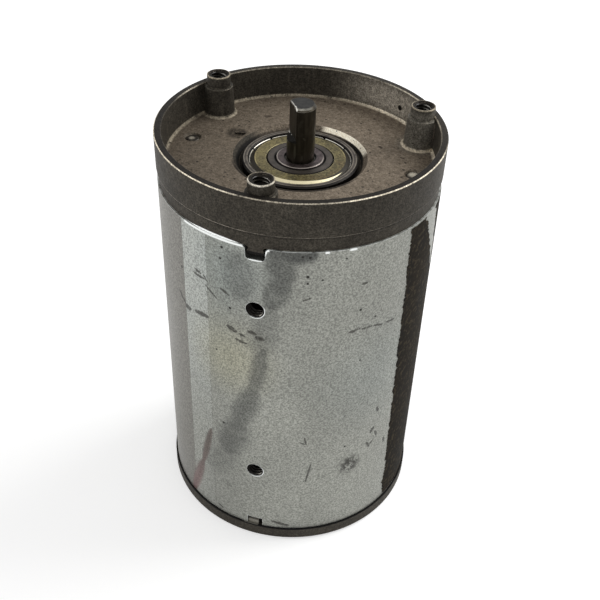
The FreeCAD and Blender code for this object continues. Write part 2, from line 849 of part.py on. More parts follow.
def commutator_bars():
    """Copper bars round the hub, each with a riser for its winding ends."""
    half_pitch = 180.0 / slot_count
    half_gap = math.degrees(bar_gap / 2 / commutator_r)
    half_bar = half_pitch - half_gap
    half_riser = half_bar - riser_side_angle
    bar = sector(commutator_r, commutator_hub_r, commutator_bottom_z, commutator_top_z, -half_bar, half_bar)
    riser = sector(riser_r, commutator_r - riser_root, commutator_top_z - riser_height, commutator_top_z,
                   -half_riser, half_riser)
    return around(bar.fuse(riser).removeSplitter(), even_angles(slot_count))


def brush(angle):
    """Carbon brush with its face curved to the commutator."""
    half = brush_width / 2
    body = block(commutator_r - past, brush_back_r, -half, half, brush_bottom_z, brush_top_z)
    body = body.cut(cylinder(brush_face_r, brush_bottom_z - past, brush_top_z + past))
    return rotated(body, angle)


def brush_holder(angle):
    """Brass box that guides one brush, slotted on top for its lead and closed at the outer end."""
    half_in = brush_width / 2 + slide_gap
    half_out = half_in + holder_wall
    body = block(holder_inner_r, holder_outer_r, -half_out, half_out, brush_plate_top_z, holder_top_z)
    body = body.cut(block(holder_inner_r - past, holder_outer_r - holder_wall, -half_in, half_in,
                          brush_bottom_z - slide_gap, brush_top_z + slide_gap))
    slot_end = lead_leave_r + brush_travel + holder_slot
    body = body.cut(block(holder_inner_r - past, slot_end, -holder_slot / 2, holder_slot / 2,
                          brush_top_z, holder_top_z + past))
    return rotated(body, angle)


def brush_spring(angle):
    """Helical spring between the brush's back and the holder's end wall."""
    start_x = brush_back_r + spring_wire_r + spring_end_gap
    end_x = holder_outer_r - holder_wall - spring_wire_r - spring_end_gap
    pitch = (end_x - start_x) / spring_turns
    path = Part.makeHelix(pitch, end_x - start_x, spring_coil_r)
    path.rotate(ORIGIN, Vector(0, 1, 0), 90)
    path.translate(Vector(start_x, 0, brush_mid_z))
    first_edge = path.Edges[0]
    start = first_edge.valueAt(first_edge.FirstParameter)
    heading = first_edge.tangentAt(first_edge.FirstParameter)
    circle = Part.Wire([Part.Edge(Part.Circle(start, heading, spring_wire_r))])
    print("brush spring gap between turns", round(pitch - spring_wire_r * 2, 2), "mm")
    return rotated(Part.Wire(path.Edges).makePipeShell([circle], True, True), angle)


def brush_lead(angle):
    """Flexible copper lead from the top of a brush over to its rivet on the brush plate."""
    top = brush_top_z + lead_rise
    start = Vector(lead_leave_r, 0, brush_top_z)
    rise_end = Vector(lead_leave_r, 0, top)
    over_start = Vector(lead_leave_r, lead_bend_r, top + lead_bend_r)
    over_end = Vector(lead_leave_r, lead_shift - lead_bend_r, top + lead_bend_r)
    fall_start = Vector(lead_leave_r, lead_shift, top)
    end = Vector(lead_leave_r, lead_shift, brush_plate_top_z + rivet_head_height)
    sag = lead_bend_r * (1 - math.sqrt(0.5))
    first_mid = Vector(lead_leave_r, sag, top + lead_bend_r - sag)
    second_mid = Vector(lead_leave_r, lead_shift - sag, top + lead_bend_r - sag)
    path = Part.Wire([
        Part.LineSegment(start, rise_end).toShape(),
        Part.Arc(rise_end, first_mid, over_start).toShape(),
        Part.LineSegment(over_start, over_end).toShape(),
        Part.Arc(over_end, second_mid, fall_start).toShape(),
        Part.LineSegment(fall_start, end).toShape(),
    ])
    circle = Part.Wire([Part.Edge(Part.Circle(start, AXIS, lead_r))])
    return rotated(path.makePipeShell([circle], True, False), angle)


def lead_rivet(angle):
    """Brass rivet that clamps a brush lead to the brush plate."""
    bottom = brush_plate_bottom_z - rivet_head_height
    stem = cylinder(rivet_r, brush_plate_bottom_z, brush_plate_top_z, lead_leave_r, lead_shift)
    top = brush_plate_top_z + rivet_head_height
    head = cylinder(rivet_head_r, brush_plate_top_z, top, lead_leave_r, lead_shift)
    tail = cylinder(rivet_head_r, bottom, brush_plate_bottom_z, lead_leave_r, lead_shift)
    return rotated(stem.fuse(head).fuse(tail).removeSplitter(), angle)


def brush_plate():
    """Insulating ring that carries the brush holders, screwed to the rear bell's posts."""
    plate = ring(can_inner_r - plate_can_gap, plate_inner_r, brush_plate_bottom_z, brush_plate_top_z)
    below = brush_plate_bottom_z - past
    above = brush_plate_top_z + past
    holes = []
    for angle in post_angles:
        x, y = place(post_circle_r, angle)
        holes.append(cylinder(screw_r + bolt_gap, below, above, x, y))
    for angle in bolt_angles:
        x, y = place(bolt_circle_r, angle)
        holes.append(cylinder(bolt_r + running_gap, below, above, x, y))
    rivet = cylinder(rivet_r, below, above, lead_leave_r, lead_shift)
    holes.extend(around(rivet, brush_angles))
    return plate.cut(Part.makeCompound(holes))


def brush_plate_screws():
    """Four small screws that hold the brush plate to the posts."""
    screws = []
    for angle in post_angles:
        x, y = place(post_circle_r, angle)
        tip = brush_plate_bottom_z - screw_depth + screw_end_gap
        shank = cylinder(screw_r, tip, brush_plate_top_z, x, y)
        head = cylinder(screw_head_r, brush_plate_top_z, brush_plate_top_z + screw_head_height, x, y)
        screws.append(shank.fuse(head).removeSplitter())
    return screws


def through_bolts():
    """Two long bolts from the rear bell's counterbores, threaded into the front bell's pads."""
    bolts = []
    head_top = counterbore_depth - bolt_washer_thickness
    for angle in bolt_angles:
        x, y = place(bolt_circle_r, angle)
        end = cup_floor_z - bolt_end_drop
        shank = cylinder(bolt_r, head_top, end - bolt_end_chamfer, x, y)
        tip = cone(bolt_r, bolt_r - bolt_end_chamfer, end - bolt_end_chamfer, end, x, y)
        head = cylinder(bolt_head_r, head_top - bolt_head_height, head_top, x, y)
        bolts.append(shank.fuse(tip).fuse(head).removeSplitter())
    return bolts


def bolt_washers():
    """A plain washer under each through-bolt's head."""
    washers = []
    for angle in bolt_angles:
        x, y = place(bolt_circle_r, angle)
        disc = cylinder(bolt_washer_r, counterbore_depth - bolt_washer_thickness, counterbore_depth, x, y)
        washers.append(disc.cut(cylinder(bolt_r + bolt_gap, 0, lip_height * 2, x, y)))
    return washers


def label_remnant():
    """The dark film left of a torn wrap on the can's side."""
    return sector(can_outer_r + label_thickness, can_outer_r, can_bottom_z + label_end_gap,
                  can_top_z - label_end_gap, label_edge_angle, label_far_angle)


def build():
    """Write every node of the motor to its own file."""
    os.makedirs("parts", exist_ok=True)
    save("front_end_bell", front_end_bell())
    save("yoke_can", yoke_can())
    save("rear_end_bell", rear_end_bell())
    save("lead_grommet", lead_grommet())
    save("label_remnant", label_remnant())
    save_bearing("front_bearing", front_bearing, front_bearing_bottom_z)
    save_bearing("rear_bearing", rear_bearing, rear_bearing_bottom_z)
    save("wave_washer", wave_washer())
    for number, angle in enumerate(pole_angles, start=1):
        save("magnet_" + str(number), magnet(angle))
    save("armature_shaft", armature_shaft())
    save("armature_core", slotted_disc(core_bottom_z, core_top_z))
    save("core_insulator_front", slotted_disc(core_top_z, insulator_top_z))
    save("core_insulator_rear", slotted_disc(insulator_bottom_z, core_bottom_z))
    save("slot_windings", slot_windings())
    save("winding_overhang_front", winding_overhang(insulator_top_z, overhang_top_z))
    save("winding_overhang_rear", winding_overhang(insulator_bottom_z, overhang_bottom_z))
    save("commutator_hub", commutator_hub())
    save("commutator_bars", commutator_bars())
    save("brush_plate", brush_plate())
    save("brush_plate_screws", brush_plate_screws())
    for number, angle in enumerate(brush_angles, start=1):
        save("brush_" + str(number), brush(angle))
        save("brush_holder_" + str(number), brush_holder(angle))
        save("brush_spring_" + str(number), brush_spring(angle))
        save("brush_lead_" + str(number), brush_lead(angle))
    save("lead_rivets", [lead_rivet(angle) for angle in brush_angles])
    save("through_bolts", through_bolts())
    save("bolt_washers", bolt_washers())


build()
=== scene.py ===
"""Looks of a permanent-magnet dc motor: finishes, bearing shield, threads, brush gear, film and stage."""

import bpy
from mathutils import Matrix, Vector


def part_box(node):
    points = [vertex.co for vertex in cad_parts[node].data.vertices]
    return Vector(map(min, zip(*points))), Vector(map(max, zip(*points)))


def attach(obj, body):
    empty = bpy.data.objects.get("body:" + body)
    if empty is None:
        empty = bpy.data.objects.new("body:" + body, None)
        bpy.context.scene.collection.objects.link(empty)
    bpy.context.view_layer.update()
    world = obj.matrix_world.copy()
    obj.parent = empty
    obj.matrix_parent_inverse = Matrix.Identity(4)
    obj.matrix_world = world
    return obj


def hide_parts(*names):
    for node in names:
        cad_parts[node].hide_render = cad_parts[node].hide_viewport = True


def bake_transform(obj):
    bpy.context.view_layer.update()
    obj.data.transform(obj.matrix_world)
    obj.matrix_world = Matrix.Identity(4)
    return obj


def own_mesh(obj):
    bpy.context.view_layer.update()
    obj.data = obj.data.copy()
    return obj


bl_info = {
    "name": "DC Motor Looks",
    "version": (1, 0, 0),
    "blender": (4, 5, 0),
    "location": "3D View > Sidebar > DC Motor",
    "description": "Finishes a dc motor: bells, can, bearings, threads, brush gear, film and stage",
    "category": "Object",
}

import math

import bmesh
import bpy
from bpy.props import FloatProperty, FloatVectorProperty, IntProperty, PointerProperty
from bpy.types import NodeSocket, Operator, Panel, PropertyGroup
from mathutils import Matrix, Vector
from mathutils import noise as fractal

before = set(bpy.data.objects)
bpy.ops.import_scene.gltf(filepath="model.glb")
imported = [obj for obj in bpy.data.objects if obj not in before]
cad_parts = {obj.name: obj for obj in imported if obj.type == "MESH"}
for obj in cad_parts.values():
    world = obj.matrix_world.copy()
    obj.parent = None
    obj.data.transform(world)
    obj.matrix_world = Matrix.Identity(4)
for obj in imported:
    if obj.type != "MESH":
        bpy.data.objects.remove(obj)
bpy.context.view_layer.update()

# One mm in metres
MM = 0.001

# Radii and levels of the CAD model in mm, and angles about the shaft in degrees
CAN_RADIUS = 48.75
CAN_TOP = 138.5
CAN_FOOT = 5.5
CUP_RADIUS = 46.45
FLOOR_LEVEL = 144.6
RECESS_RADIUS = 23.0
STEP_LEVEL = 143.5
RIM_TOP = 156.0
NOTCH_TAB_END = 136.5
FOOT_TAB_TOP = 9.8
TAB_FRONT = -44.5
BOSS_ANGLES = (-90, 30, 150)
BOSS_CIRCLE = 42.9
BOSS_TOP = 159.3
BRUSH_ANGLES = (45, 135, 225, 315)
SIDE_HOLES = (114.0, 37.0)
SHAFT_RADIUS = 4.76
SHAFT_TOP = 164.0
FLAT_ANGLE = 214.5
FLAT_DEPTH = 3.0

# Where the threads start and end: levels in the bosses, and distances from the axis in the can
BOSS_THREAD = (147.2, 158.92)
SIDE_THREAD = (44.9, 48.3)

# Outlines of turned shapes, as radius and level
BOSS_COLLAR = (
    (3.58, 159.3), (3.72, 159.41), (4.04, 159.41), (4.18, 159.3), (4.215, 159.16), (4.215, 155.34),
    (3.19, 155.32),
)
SHIELD_PROFILE = (
    (11.62, 143.45), (11.62, 143.70), (11.72, 143.79), (15.40, 143.80), (15.72, 143.74), (16.72, 143.08),
    (16.90, 143.00), (17.06, 143.00), (17.20, 143.14), (17.34, 143.26), (17.48, 143.24), (17.58, 143.12),
    (17.58, 142.92), (16.72, 142.92), (15.52, 143.42),
)

# Stains on the cup's floor, with places as x and y: start, end, half width
STAINS = (
    ((-17.5, 24.6), (-20.8, 23.4), 0.7), ((24.0, 15.6), (25.4, 14.0), 0.7),
    ((32.6, 10.2), (34.4, 9.4), 0.6), ((-28.9, -12.6), (-28.4, -11.2), 0.5),
)

# Marks on the can, with places as angle and level. Smears, partly tarnish and partly painted reflection:
# start, end, half width, strength
SMEARS_AND_REFLECTIONS = (
    ((-83, 137), (-78, 127), 6.5, 1.0), ((-79, 130), (-84, 116), 6.0, 0.95),
    ((-97, 134), (-96, 118), 8.0, 0.6), ((-84, 116), (-88, 94), 6.5, 0.45),
    ((-86.5, 98), (-91, 76), 4.2, 0.8), ((-90, 80), (-99, 56), 6.0, 0.8),
    ((-97, 60), (-104, 42), 8.5, 0.8), ((-103, 44), (-112, 30), 9.0, 0.42),
    ((-84, 137.5), (-68, 137.5), 5.6, 1.2),
)
# Scuffs: start, end, half width, raggedness
SCUFFS = (
    ((-129.5, 107.0), (-124.4, 103.2), 0.8, 2.8), ((-124.6, 102.4), (-121.4, 102.6), 1.5, 2.6),
    ((-118.6, 103.4), (-110.8, 104.2), 1.35, 2.6), ((-117.4, 121.6), (-114.0, 121.0), 0.8, 3.0),
    ((-112.4, 117.6), (-105.8, 113.6), 0.5, 1.8), ((-118.4, 119.8), (-112.0, 119.6), 0.75, 3.0),
    ((-113.0, 121.2), (-110.6, 118.8), 0.5, 2.0), ((-104.6, 119.0), (-100.6, 117.1), 0.7, 2.2),
    ((-101.9, 104.3), (-97.8, 102.8), 1.2, 4.2), ((-96.6, 102.4), (-94.2, 101.8), 0.7, 2.2),
    ((-93.0, 104.6), (-89.4, 104.0), 1.0, 3.8), ((-89.6, 102.6), (-86.4, 101.9), 1.2, 4.0),
    ((-98.4, 99.6), (-93.0, 98.8), 0.8, 3.8), ((-53.4, 104.3), (-48.0, 105.2), 0.7, 3.0),
    ((-47.4, 104.6), (-42.6, 104.4), 0.75, 3.2), ((-42.0, 104.4), (-37.2, 103.2), 0.6, 2.6),
    ((-35.6, 103.4), (-30.6, 102.8), 0.7, 2.4), ((-49.2, 123.7), (-46.6, 123.7), 0.6, 0.8),
    ((-68.8, 121.0), (-72.0, 119.6), 0.5, 2.0), ((-37.2, 50.5), (-35.6, 53.0), 1.1, 3.4),
    ((-34.6, 50.2), (-33.4, 47.4), 0.8, 3.0), ((-35.0, 62.8), (-34.0, 60.2), 0.8, 2.8),
    ((-28.0, 43.0), (-27.6, 40.0), 0.8, 2.4), ((-68.8, 57.0), (-67.8, 53.0), 0.45, 1.6),
    ((-70.8, 54.6), (-68.4, 53.4), 0.4, 1.6), ((-39.0, 46.4), (-37.2, 43.0), 0.7, 2.8),
    ((-36.8, 44.0), (-35.2, 45.8), 0.6, 2.6), ((-82.4, 9.2), (-73.8, 7.0), 1.0, 3.0),
    ((-109.4, 8.6), (-106.6, 7.6), 0.6, 1.8),
)
# Scratches: start, end, half width
SCRATCHES = (
    ((-65.4, 42.8), (-67.5, 32.6), 0.55), ((-62.5, 34.7), (-54.6, 36.2), 0.18),
    ((-62.2, 32.7), (-50.0, 34.6), 0.18), ((-64.9, 48.3), (-51.8, 46.9), 0.16),
    ((-104.4, 23.4), (-101.3, 22.8), 0.25), ((-104.0, 25.0), (-100.6, 22.4), 0.2),
    ((-63.0, 33.6), (-57.0, 35.0), 0.16), ((-66.6, 41.0), (-60.0, 38.6), 0.14),
    ((-60.0, 29.0), (-46.0, 30.6), 0.14),
)
# Dots: angle, level, radius
DOTS = (
    (-103.4, 135.3, 0.5), (-104.2, 130.8, 0.42), (-100.4, 112.1, 0.5), (-70.4, 129.2, 0.55),
    (-70.3, 126.6, 0.4), (-64.8, 127.8, 0.35), (-48.7, 113.1, 0.5), (-41.5, 108.2, 0.4),
    (-72.5, 136.8, 0.45), (-69.8, 136.5, 0.45), (-56.2, 135.1, 0.3), (-107.3, 91.5, 0.35),
    (-126.0, 118.2, 0.5), (-46.8, 90.5, 0.35), (-104.9, 56.9, 0.5), (-50.3, 48.8, 0.45),
)
# Dull smears on the shaft, with places as angle and level: start, end, half width, strength
SHAFT_SMEARS = (
    ((-98, 145.6), (-98, 150.6), 0.55, 1.0), ((-68, 145.2), (-68, 147.0), 0.5, 0.6),
    ((-66, 153.6), (-56, 152.7), 0.5, 0.7),
)

# Painted highlights on the shaft's flat, with places as distance across and level: start, end, half width,
# strength
FLAT_HIGHLIGHTS = (
    ((-3.6, 163.7), (1.5, 163.9), 0.42, 0.8), ((1.2, 163.9), (3.7, 163.3), 0.7, 1.0),
    ((-3.7, 153.4), (-3.4, 152.2), 0.55, 1.0), ((-2.9, 152.4), (-2.5, 151.8), 0.45, 0.9),
    ((-1.1, 153.2), (-0.6, 151.8), 0.3, 0.5),
)


def paint(red, green, blue):
    """Linear colour of a screen colour given as 0 to 255."""
    levels = []
    for part in (red, green, blue):
        share = part / 255
        levels.append(share / 12.92 if share <= 0.04045 else ((share + 0.055) / 1.055) ** 2.4)
    return tuple(levels)


def shade(colour, share):
    """A colour made darker or lighter by a share."""
    return tuple(part * share for part in colour)


def colour_property(name, description, default):
    """A colour that the panel shows."""
    return FloatVectorProperty(name=name, description=description, default=default, subtype="COLOR", size=3,
                               min=0.0, max=1.0)


def number_property(name, description, default, low=0.0, high=200.0):
    """A number that the panel shows."""
    return FloatProperty(name=name, description=description, default=default, min=low, max=high)


def count_property(name, description, default, low, high):
    """A whole number that the panel shows."""
    return IntProperty(name=name, description=description, default=default, min=low, max=high)


def angle_property(name, description, degrees):
    """An angle that the panel shows."""
    return FloatProperty(name=name, description=description, default=math.radians(degrees), subtype="ANGLE")


class MotorColours(PropertyGroup):
    """Colours of the finishes."""

    casting: colour_property("Casting", "Dark skin of the cast bells", paint(64, 60, 53))
    casting_worn: colour_property("Worn casting", "Bare metal along the bells' edges", paint(150, 141, 124))
    # The cup floor's colour is the lit side of the light painted across the floor.
    cup_floor: colour_property("Cup floor", "Light part of the cup's floor", paint(122, 111, 97))
    plating: colour_property("Plating", "Zinc plating of the can", paint(140, 141, 134))
    # The bare edge colour also paints the highlights along the can's top edge, hole rims and notch.
    bare_edge: colour_property("Bare edge", "Cut edges of the can", paint(235, 238, 236))
    film: colour_property("Film", "Dark torn film on the can", paint(25, 21, 15))
    shield: colour_property("Shield", "Yellow passivated bearing shields", paint(112, 103, 68))
    ring: colour_property("Bearing ring", "Hardened bearing rings", paint(76, 70, 64))
    shaft: colour_property("Shaft", "Oiled shaft steel", paint(66, 61, 52))


class ThreadSizes(PropertyGroup):
    """Sizes in mm of the threads in the bosses and in the can."""

    pitch: number_property("Pitch", "Height of one turn in mm", 1.27, 0.5, 3.0)
    crest: number_property("Crest radius", "Radius at the thread's crests in mm", 2.62)
    root: number_property("Root radius", "Radius at the thread's roots in mm", 3.12)
    sleeve: number_property("Sleeve radius", "Outer radius of the sleeve in mm", 3.19)
    steps: count_property("Steps", "Steps in one turn", 48, 12, 96)


class ShieldSizes(PropertyGroup):
    """Sizes of the front bearing's visible shield."""

    slits: count_property("Slits", "Number of slits in the crimped rim", 11, 0, 24)
    slit_angle: angle_property("First slit", "Angle of the first slit", 43.4)
    steps: count_property("Steps", "Steps in one turn", 352, 48, 480)


class FilmSizes(PropertyGroup):
    """Sizes of the torn film."""

    edge_top: angle_property("Edge at the top", "Angle of the torn edge at the can's top", -26.4)
    edge_foot: angle_property("Edge at the foot", "Angle of the torn edge at the can's foot", -23.4)
    far_edge: angle_property("Far edge", "Angle of the film's other edge", 66)
    thickness: number_property("Thickness", "Film thickness in mm", 0.12, 0.05, 0.2)
    tear_tip: number_property("Tear tip", "Level in mm at which the upper tear ends", 107.0)


class BrushGearSizes(PropertyGroup):
    """Sizes of the brush springs and leads in mm."""

    back: number_property("Brush back", "Radius of the brushes' backs", 31.45)
    wall: number_property("End wall", "Radius of the holders' end walls inside", 40.45)
    wire: number_property("Wire radius", "Radius of the spring wire", 0.35, 0.1, 0.6)
    coil: number_property("Coil radius", "Radius of the springs' turns", 2.4, 1.0, 2.8)
    turns: count_property("Turns", "Open turns between the closed end turns", 4, 2, 8)
    lead: number_property("Lead radius", "Radius of the copper leads", 0.8, 0.3, 1.2)
    leave: number_property("Lead place", "Radius at which a lead leaves its brush", 29.25)
    shift: number_property("Lead shift", "Distance from a brush's middle to its rivet", 8.6)
    rise: number_property("Lead rise", "Straight height of a lead above its brush", 3.2)
    bend: number_property("Lead bend", "Radius of a lead's two bends", 2.2)
    rivet: number_property("Rivet head", "Height of a rivet's head above the plate", 1.4)


class StageSettings(PropertyGroup):
    """Camera, lamps and floor."""

    station: FloatVectorProperty(name="Camera place", description="Place of the camera", subtype="XYZ",
                                 size=3, unit="LENGTH", default=(0.0717, -0.2623, 0.2964))
    heading: angle_property("Heading", "Turn of the camera about the vertical", 14.9)
    pitch: angle_property("Pitch", "Downward tilt of the camera", 38.29)
    roll: angle_property("Roll", "Turn of the camera about its view axis", 2.25)
    focal_length: number_property("Focal length", "Focal length in mm on a 36 mm sensor", 54.06, 10.0)
    key: number_property("Key lamp", "Power of the large lamp in watts", 6.5)
    fill: number_property("Fill lamp", "Power of the smaller lamps in watts", 2.0)
    sky: number_property("Sky", "Light of the world on the object", 0.4)


# Node trees


class Nodes:
    """Adds nodes to a tree and links them."""

    def __init__(self, tree):
        self.tree = tree

    def node(self, kind, **settings):
        """Add a node with its settings."""
        made = self.tree.nodes.new(kind)
        for key, value in settings.items():
            setattr(made, key, value)
        return made

    def feed(self, socket, value):
        """Link a socket, or set its constant."""
        if isinstance(value, NodeSocket):
            self.tree.links.new(value, socket)
        elif socket.type == "RGBA" and hasattr(value, "__len__") and len(value) == 3:
            socket.default_value = (*value, 1.0)
        else:
            socket.default_value = value

    def feed_all(self, made, *values):
        """Feed a node's first sockets in order."""
        for socket, value in zip(made.inputs, values):
            self.feed(socket, value)

    def fill(self, made, **values):
        """Feed a node's sockets by name."""
        for name, value in values.items():
            self.feed(made.inputs[name], value)

    def math(self, operation, *values):
        """Result of a math node."""
        made = self.node("ShaderNodeMath", operation=operation)
        self.feed_all(made, *values)
        return made.outputs[0]

    def vector_math(self, operation, *vectors):
        """Result of a vector operation, which is a number for a distance, a product or a length."""
        made = self.node("ShaderNodeVectorMath", operation=operation)
        self.feed_all(made, *vectors)
        return made.outputs["Value" if operation in ("DISTANCE", "DOT_PRODUCT", "LENGTH") else "Vector"]


class Finish(Nodes):
    """A material built up layer by layer. Lengths in its patterns are in mm."""

    def __init__(self, name):
        self.material = bpy.data.materials.new(name)
        self.material.use_nodes = True
        super().__init__(self.material.node_tree)
        self.shader = self.tree.nodes["Principled BSDF"]
        self.source = self.node("ShaderNodeTexCoord").outputs["Object"]
        scaled = self.node("ShaderNodeVectorMath", operation="SCALE")
        self.fill(scaled, Vector=self.source, Scale=1 / MM)
        self.place = scaled.outputs[0]
        self.x, self.y, self.z = (self.vector_math("DOT_PRODUCT", self.place, axis)
                                  for axis in ((1, 0, 0), (0, 1, 0), (0, 0, 1)))
        self.wobble = None
        self.colour = None

    def join(self, operation, values):
        """Join values one by one as they are made, which keeps the shader small."""
        result = None
        for value in values:
            result = value if result is None else self.math(operation, result, value)
        return result

    def times(self, *values):
        """Product of values."""
        return self.join("MULTIPLY", values)

    def plus(self, *values):
        """Sum of values."""
        return self.join("ADD", values)

    def most(self, *values):
        """Largest of values."""
        return self.join("MAXIMUM", values)

    def any_of(self, masks):
        """Largest of masks that a loop makes."""
        return self.join("MAXIMUM", masks)

    def minus(self, first, second):
        """First value less the second."""
        return self.math("SUBTRACT", first, second)

    def other(self, value):
        """One minus a value."""
        return self.minus(1.0, value)

    def rise(self, value, low, high, to_low=0.0, to_high=1.0):
        """Smooth step from one value at low to another at high."""
        made = self.node("ShaderNodeMapRange", interpolation_type="SMOOTHSTEP")
        self.feed_all(made, value, low, high, to_low, to_high)
        return made.outputs[0]

    def fall(self, value, low, high):
        """Smooth step from one at low to zero at high."""
        return self.rise(value, low, high, 1.0, 0.0)

    def between(self, value, low, high, soft):
        """Mask that is one from low to high, with soft ends."""
        up = self.rise(value, low - soft, low + soft)
        return self.times(up, self.fall(value, high - soft, high + soft))

    def radius(self):
        """Distance from the motor's axis."""
        return self.math("SQRT", self.plus(self.times(self.x, self.x), self.times(self.y, self.y)))

    def angle(self):
        """Angle about the motor's axis in degrees."""
        return self.times(self.math("ARCTAN2", self.y, self.x), 180 / math.pi)

    def distance(self, centre):
        """Distance from a point."""
        return self.vector_math("DISTANCE", self.place, centre)

    def pattern(self, kind, scale, shift):
        """Pattern node on the object's own place, scaled and shifted."""
        place = self.node("ShaderNodeMapping")
        made = self.node(kind)
        self.fill(place, Vector=self.source, Scale=scale, Location=shift)
        self.fill(made, Vector=place.outputs[0], Scale=1.0)
        return made

    def noise(self, size, detail, rough, stretch=(1, 1, 1), shift=0.0):
        """Noise with features of a size in mm, longer by stretch."""
        scale = tuple(1 / (size * share * MM) for share in stretch)
        made = self.pattern("ShaderNodeTexNoise", scale, (shift, shift * 0.7, shift * 1.3))
        self.fill(made, Detail=detail, Roughness=rough)
        return made.outputs["Fac"]

    def specks(self, size, share, dot, shift=0.0):
        """Dots of a radius in mm in a share of the cells of a size in mm."""
        cells = self.pattern("ShaderNodeTexVoronoi", (1 / (size * MM),) * 3, (shift,) * 3)
        spots = self.fall(cells.outputs["Distance"], dot / size * 0.6, dot / size)
        split = self.node("ShaderNodeSeparateColor")
        self.feed(split.inputs[0], cells.outputs["Color"])
        return self.times(spots, self.math("LESS_THAN", split.outputs[0], share))

    def spot(self, centre, size, soft):
        """Round mask about a point."""
        return self.fall(self.distance(centre), size * (1 - soft), size * (1 + soft))

    def stroke(self, start, end, width, ragged=0.0, core=0.35):
        """Long thin ellipse from point to point, full within a core share of its half width."""
        length = (Vector(end) - Vector(start)).length
        edge = math.hypot(length, 2 * width) - length
        middle = math.hypot(length, 2 * width * core) - length
        detour = self.plus(self.distance(start), self.distance(end))
        if ragged:
            if self.wobble is None:
                self.wobble = self.minus(self.noise(1.1, 5.0, 0.75), 0.5)
            detour = self.plus(detour, self.times(self.wobble, ragged * edge / width))
        return self.fall(detour, length + middle, length + edge)

    def mix(self, amount, first, second, blend="MIX"):
        """Colour between two colours."""
        made = self.node("ShaderNodeMix", data_type="RGBA", blend_type=blend)
        for index, value in ((0, amount), (6, first), (7, second)):
            self.feed(made.inputs[index], value)
        return made.outputs[2]

    def ground(self, tone, dark, light, low=0.3, high=0.7):
        """Start the colour: dark where the tone is low, and light where it is high."""
        self.colour = self.mix(self.rise(tone, low, high), dark, light)

    def lay(self, *layer, blend="MIX"):
        """Lay a colour, given last, over the colour so far. The values before it are its masks."""
        *masks, colour = layer
        self.colour = self.mix(self.times(*masks), self.colour, colour, blend)

    def bevelled(self, width):
        """Normal that turns along the shape's edges, within a width in mm."""
        bevel = self.node("ShaderNodeBevel", samples=4)
        self.fill(bevel, Radius=width * MM)
        return bevel.outputs[0]

    def normal(self):
        """The surface's own normal."""
        return self.node("ShaderNodeNewGeometry").outputs["Normal"]

    def part(self, vector, axis):
        """Part of a vector along X, Y or Z, given as 0, 1 or 2."""
        split = self.node("ShaderNodeSeparateXYZ")
        self.feed(split.inputs[0], vector)
        return split.outputs[axis]

    def edges(self, width, low, high):
        """Mask along the shape's edges, about a width in mm wide."""
        turned = self.vector_math("DOT_PRODUCT", self.bevelled(width), self.normal())
        return self.rise(self.other(turned), low, high)

    def level_edges(self, width, low=0.05, high=0.35):
        """Mask along edges between faces of different slope, whatever way round the axis they look."""
        change = self.minus(self.part(self.bevelled(width), 2), self.part(self.normal(), 2))
        return self.rise(self.math("ABSOLUTE", change), low, high)

    def level_face(self, low, high):
        """Mask of faces that look up."""
        return self.rise(self.part(self.normal(), 2), low, high)

    def bump(self, height, depth, strength):
        """Bump of a depth in mm on the shader."""
        made = self.node("ShaderNodeBump")
        self.fill(made, Strength=strength, Distance=depth * MM, Height=height)
        self.fill(self.shader, Normal=made.outputs[0])

    def finish(self, metallic=0.0, rough=0.5, specular=None):
        """Set the shader's main values."""
        self.feed(self.shader.inputs["Base Color"], self.colour)
        self.fill(self.shader, Metallic=metallic, Roughness=rough)
        if specular is not None:
            self.feed(self.shader.inputs["Specular IOR Level"], specular)
        return self.material


def at(radius, angle):
    """The x and y of a point at a radius and an angle in degrees."""
    turn = math.radians(angle)
    return radius * math.cos(turn), radius * math.sin(turn)


def on_can(angle, level, radius=CAN_RADIUS):
    """Point on the can's outer face, or on another cylinder about the shaft's axis."""
    return (*at(radius, angle), level)


# Finishes of the cast bells and the can


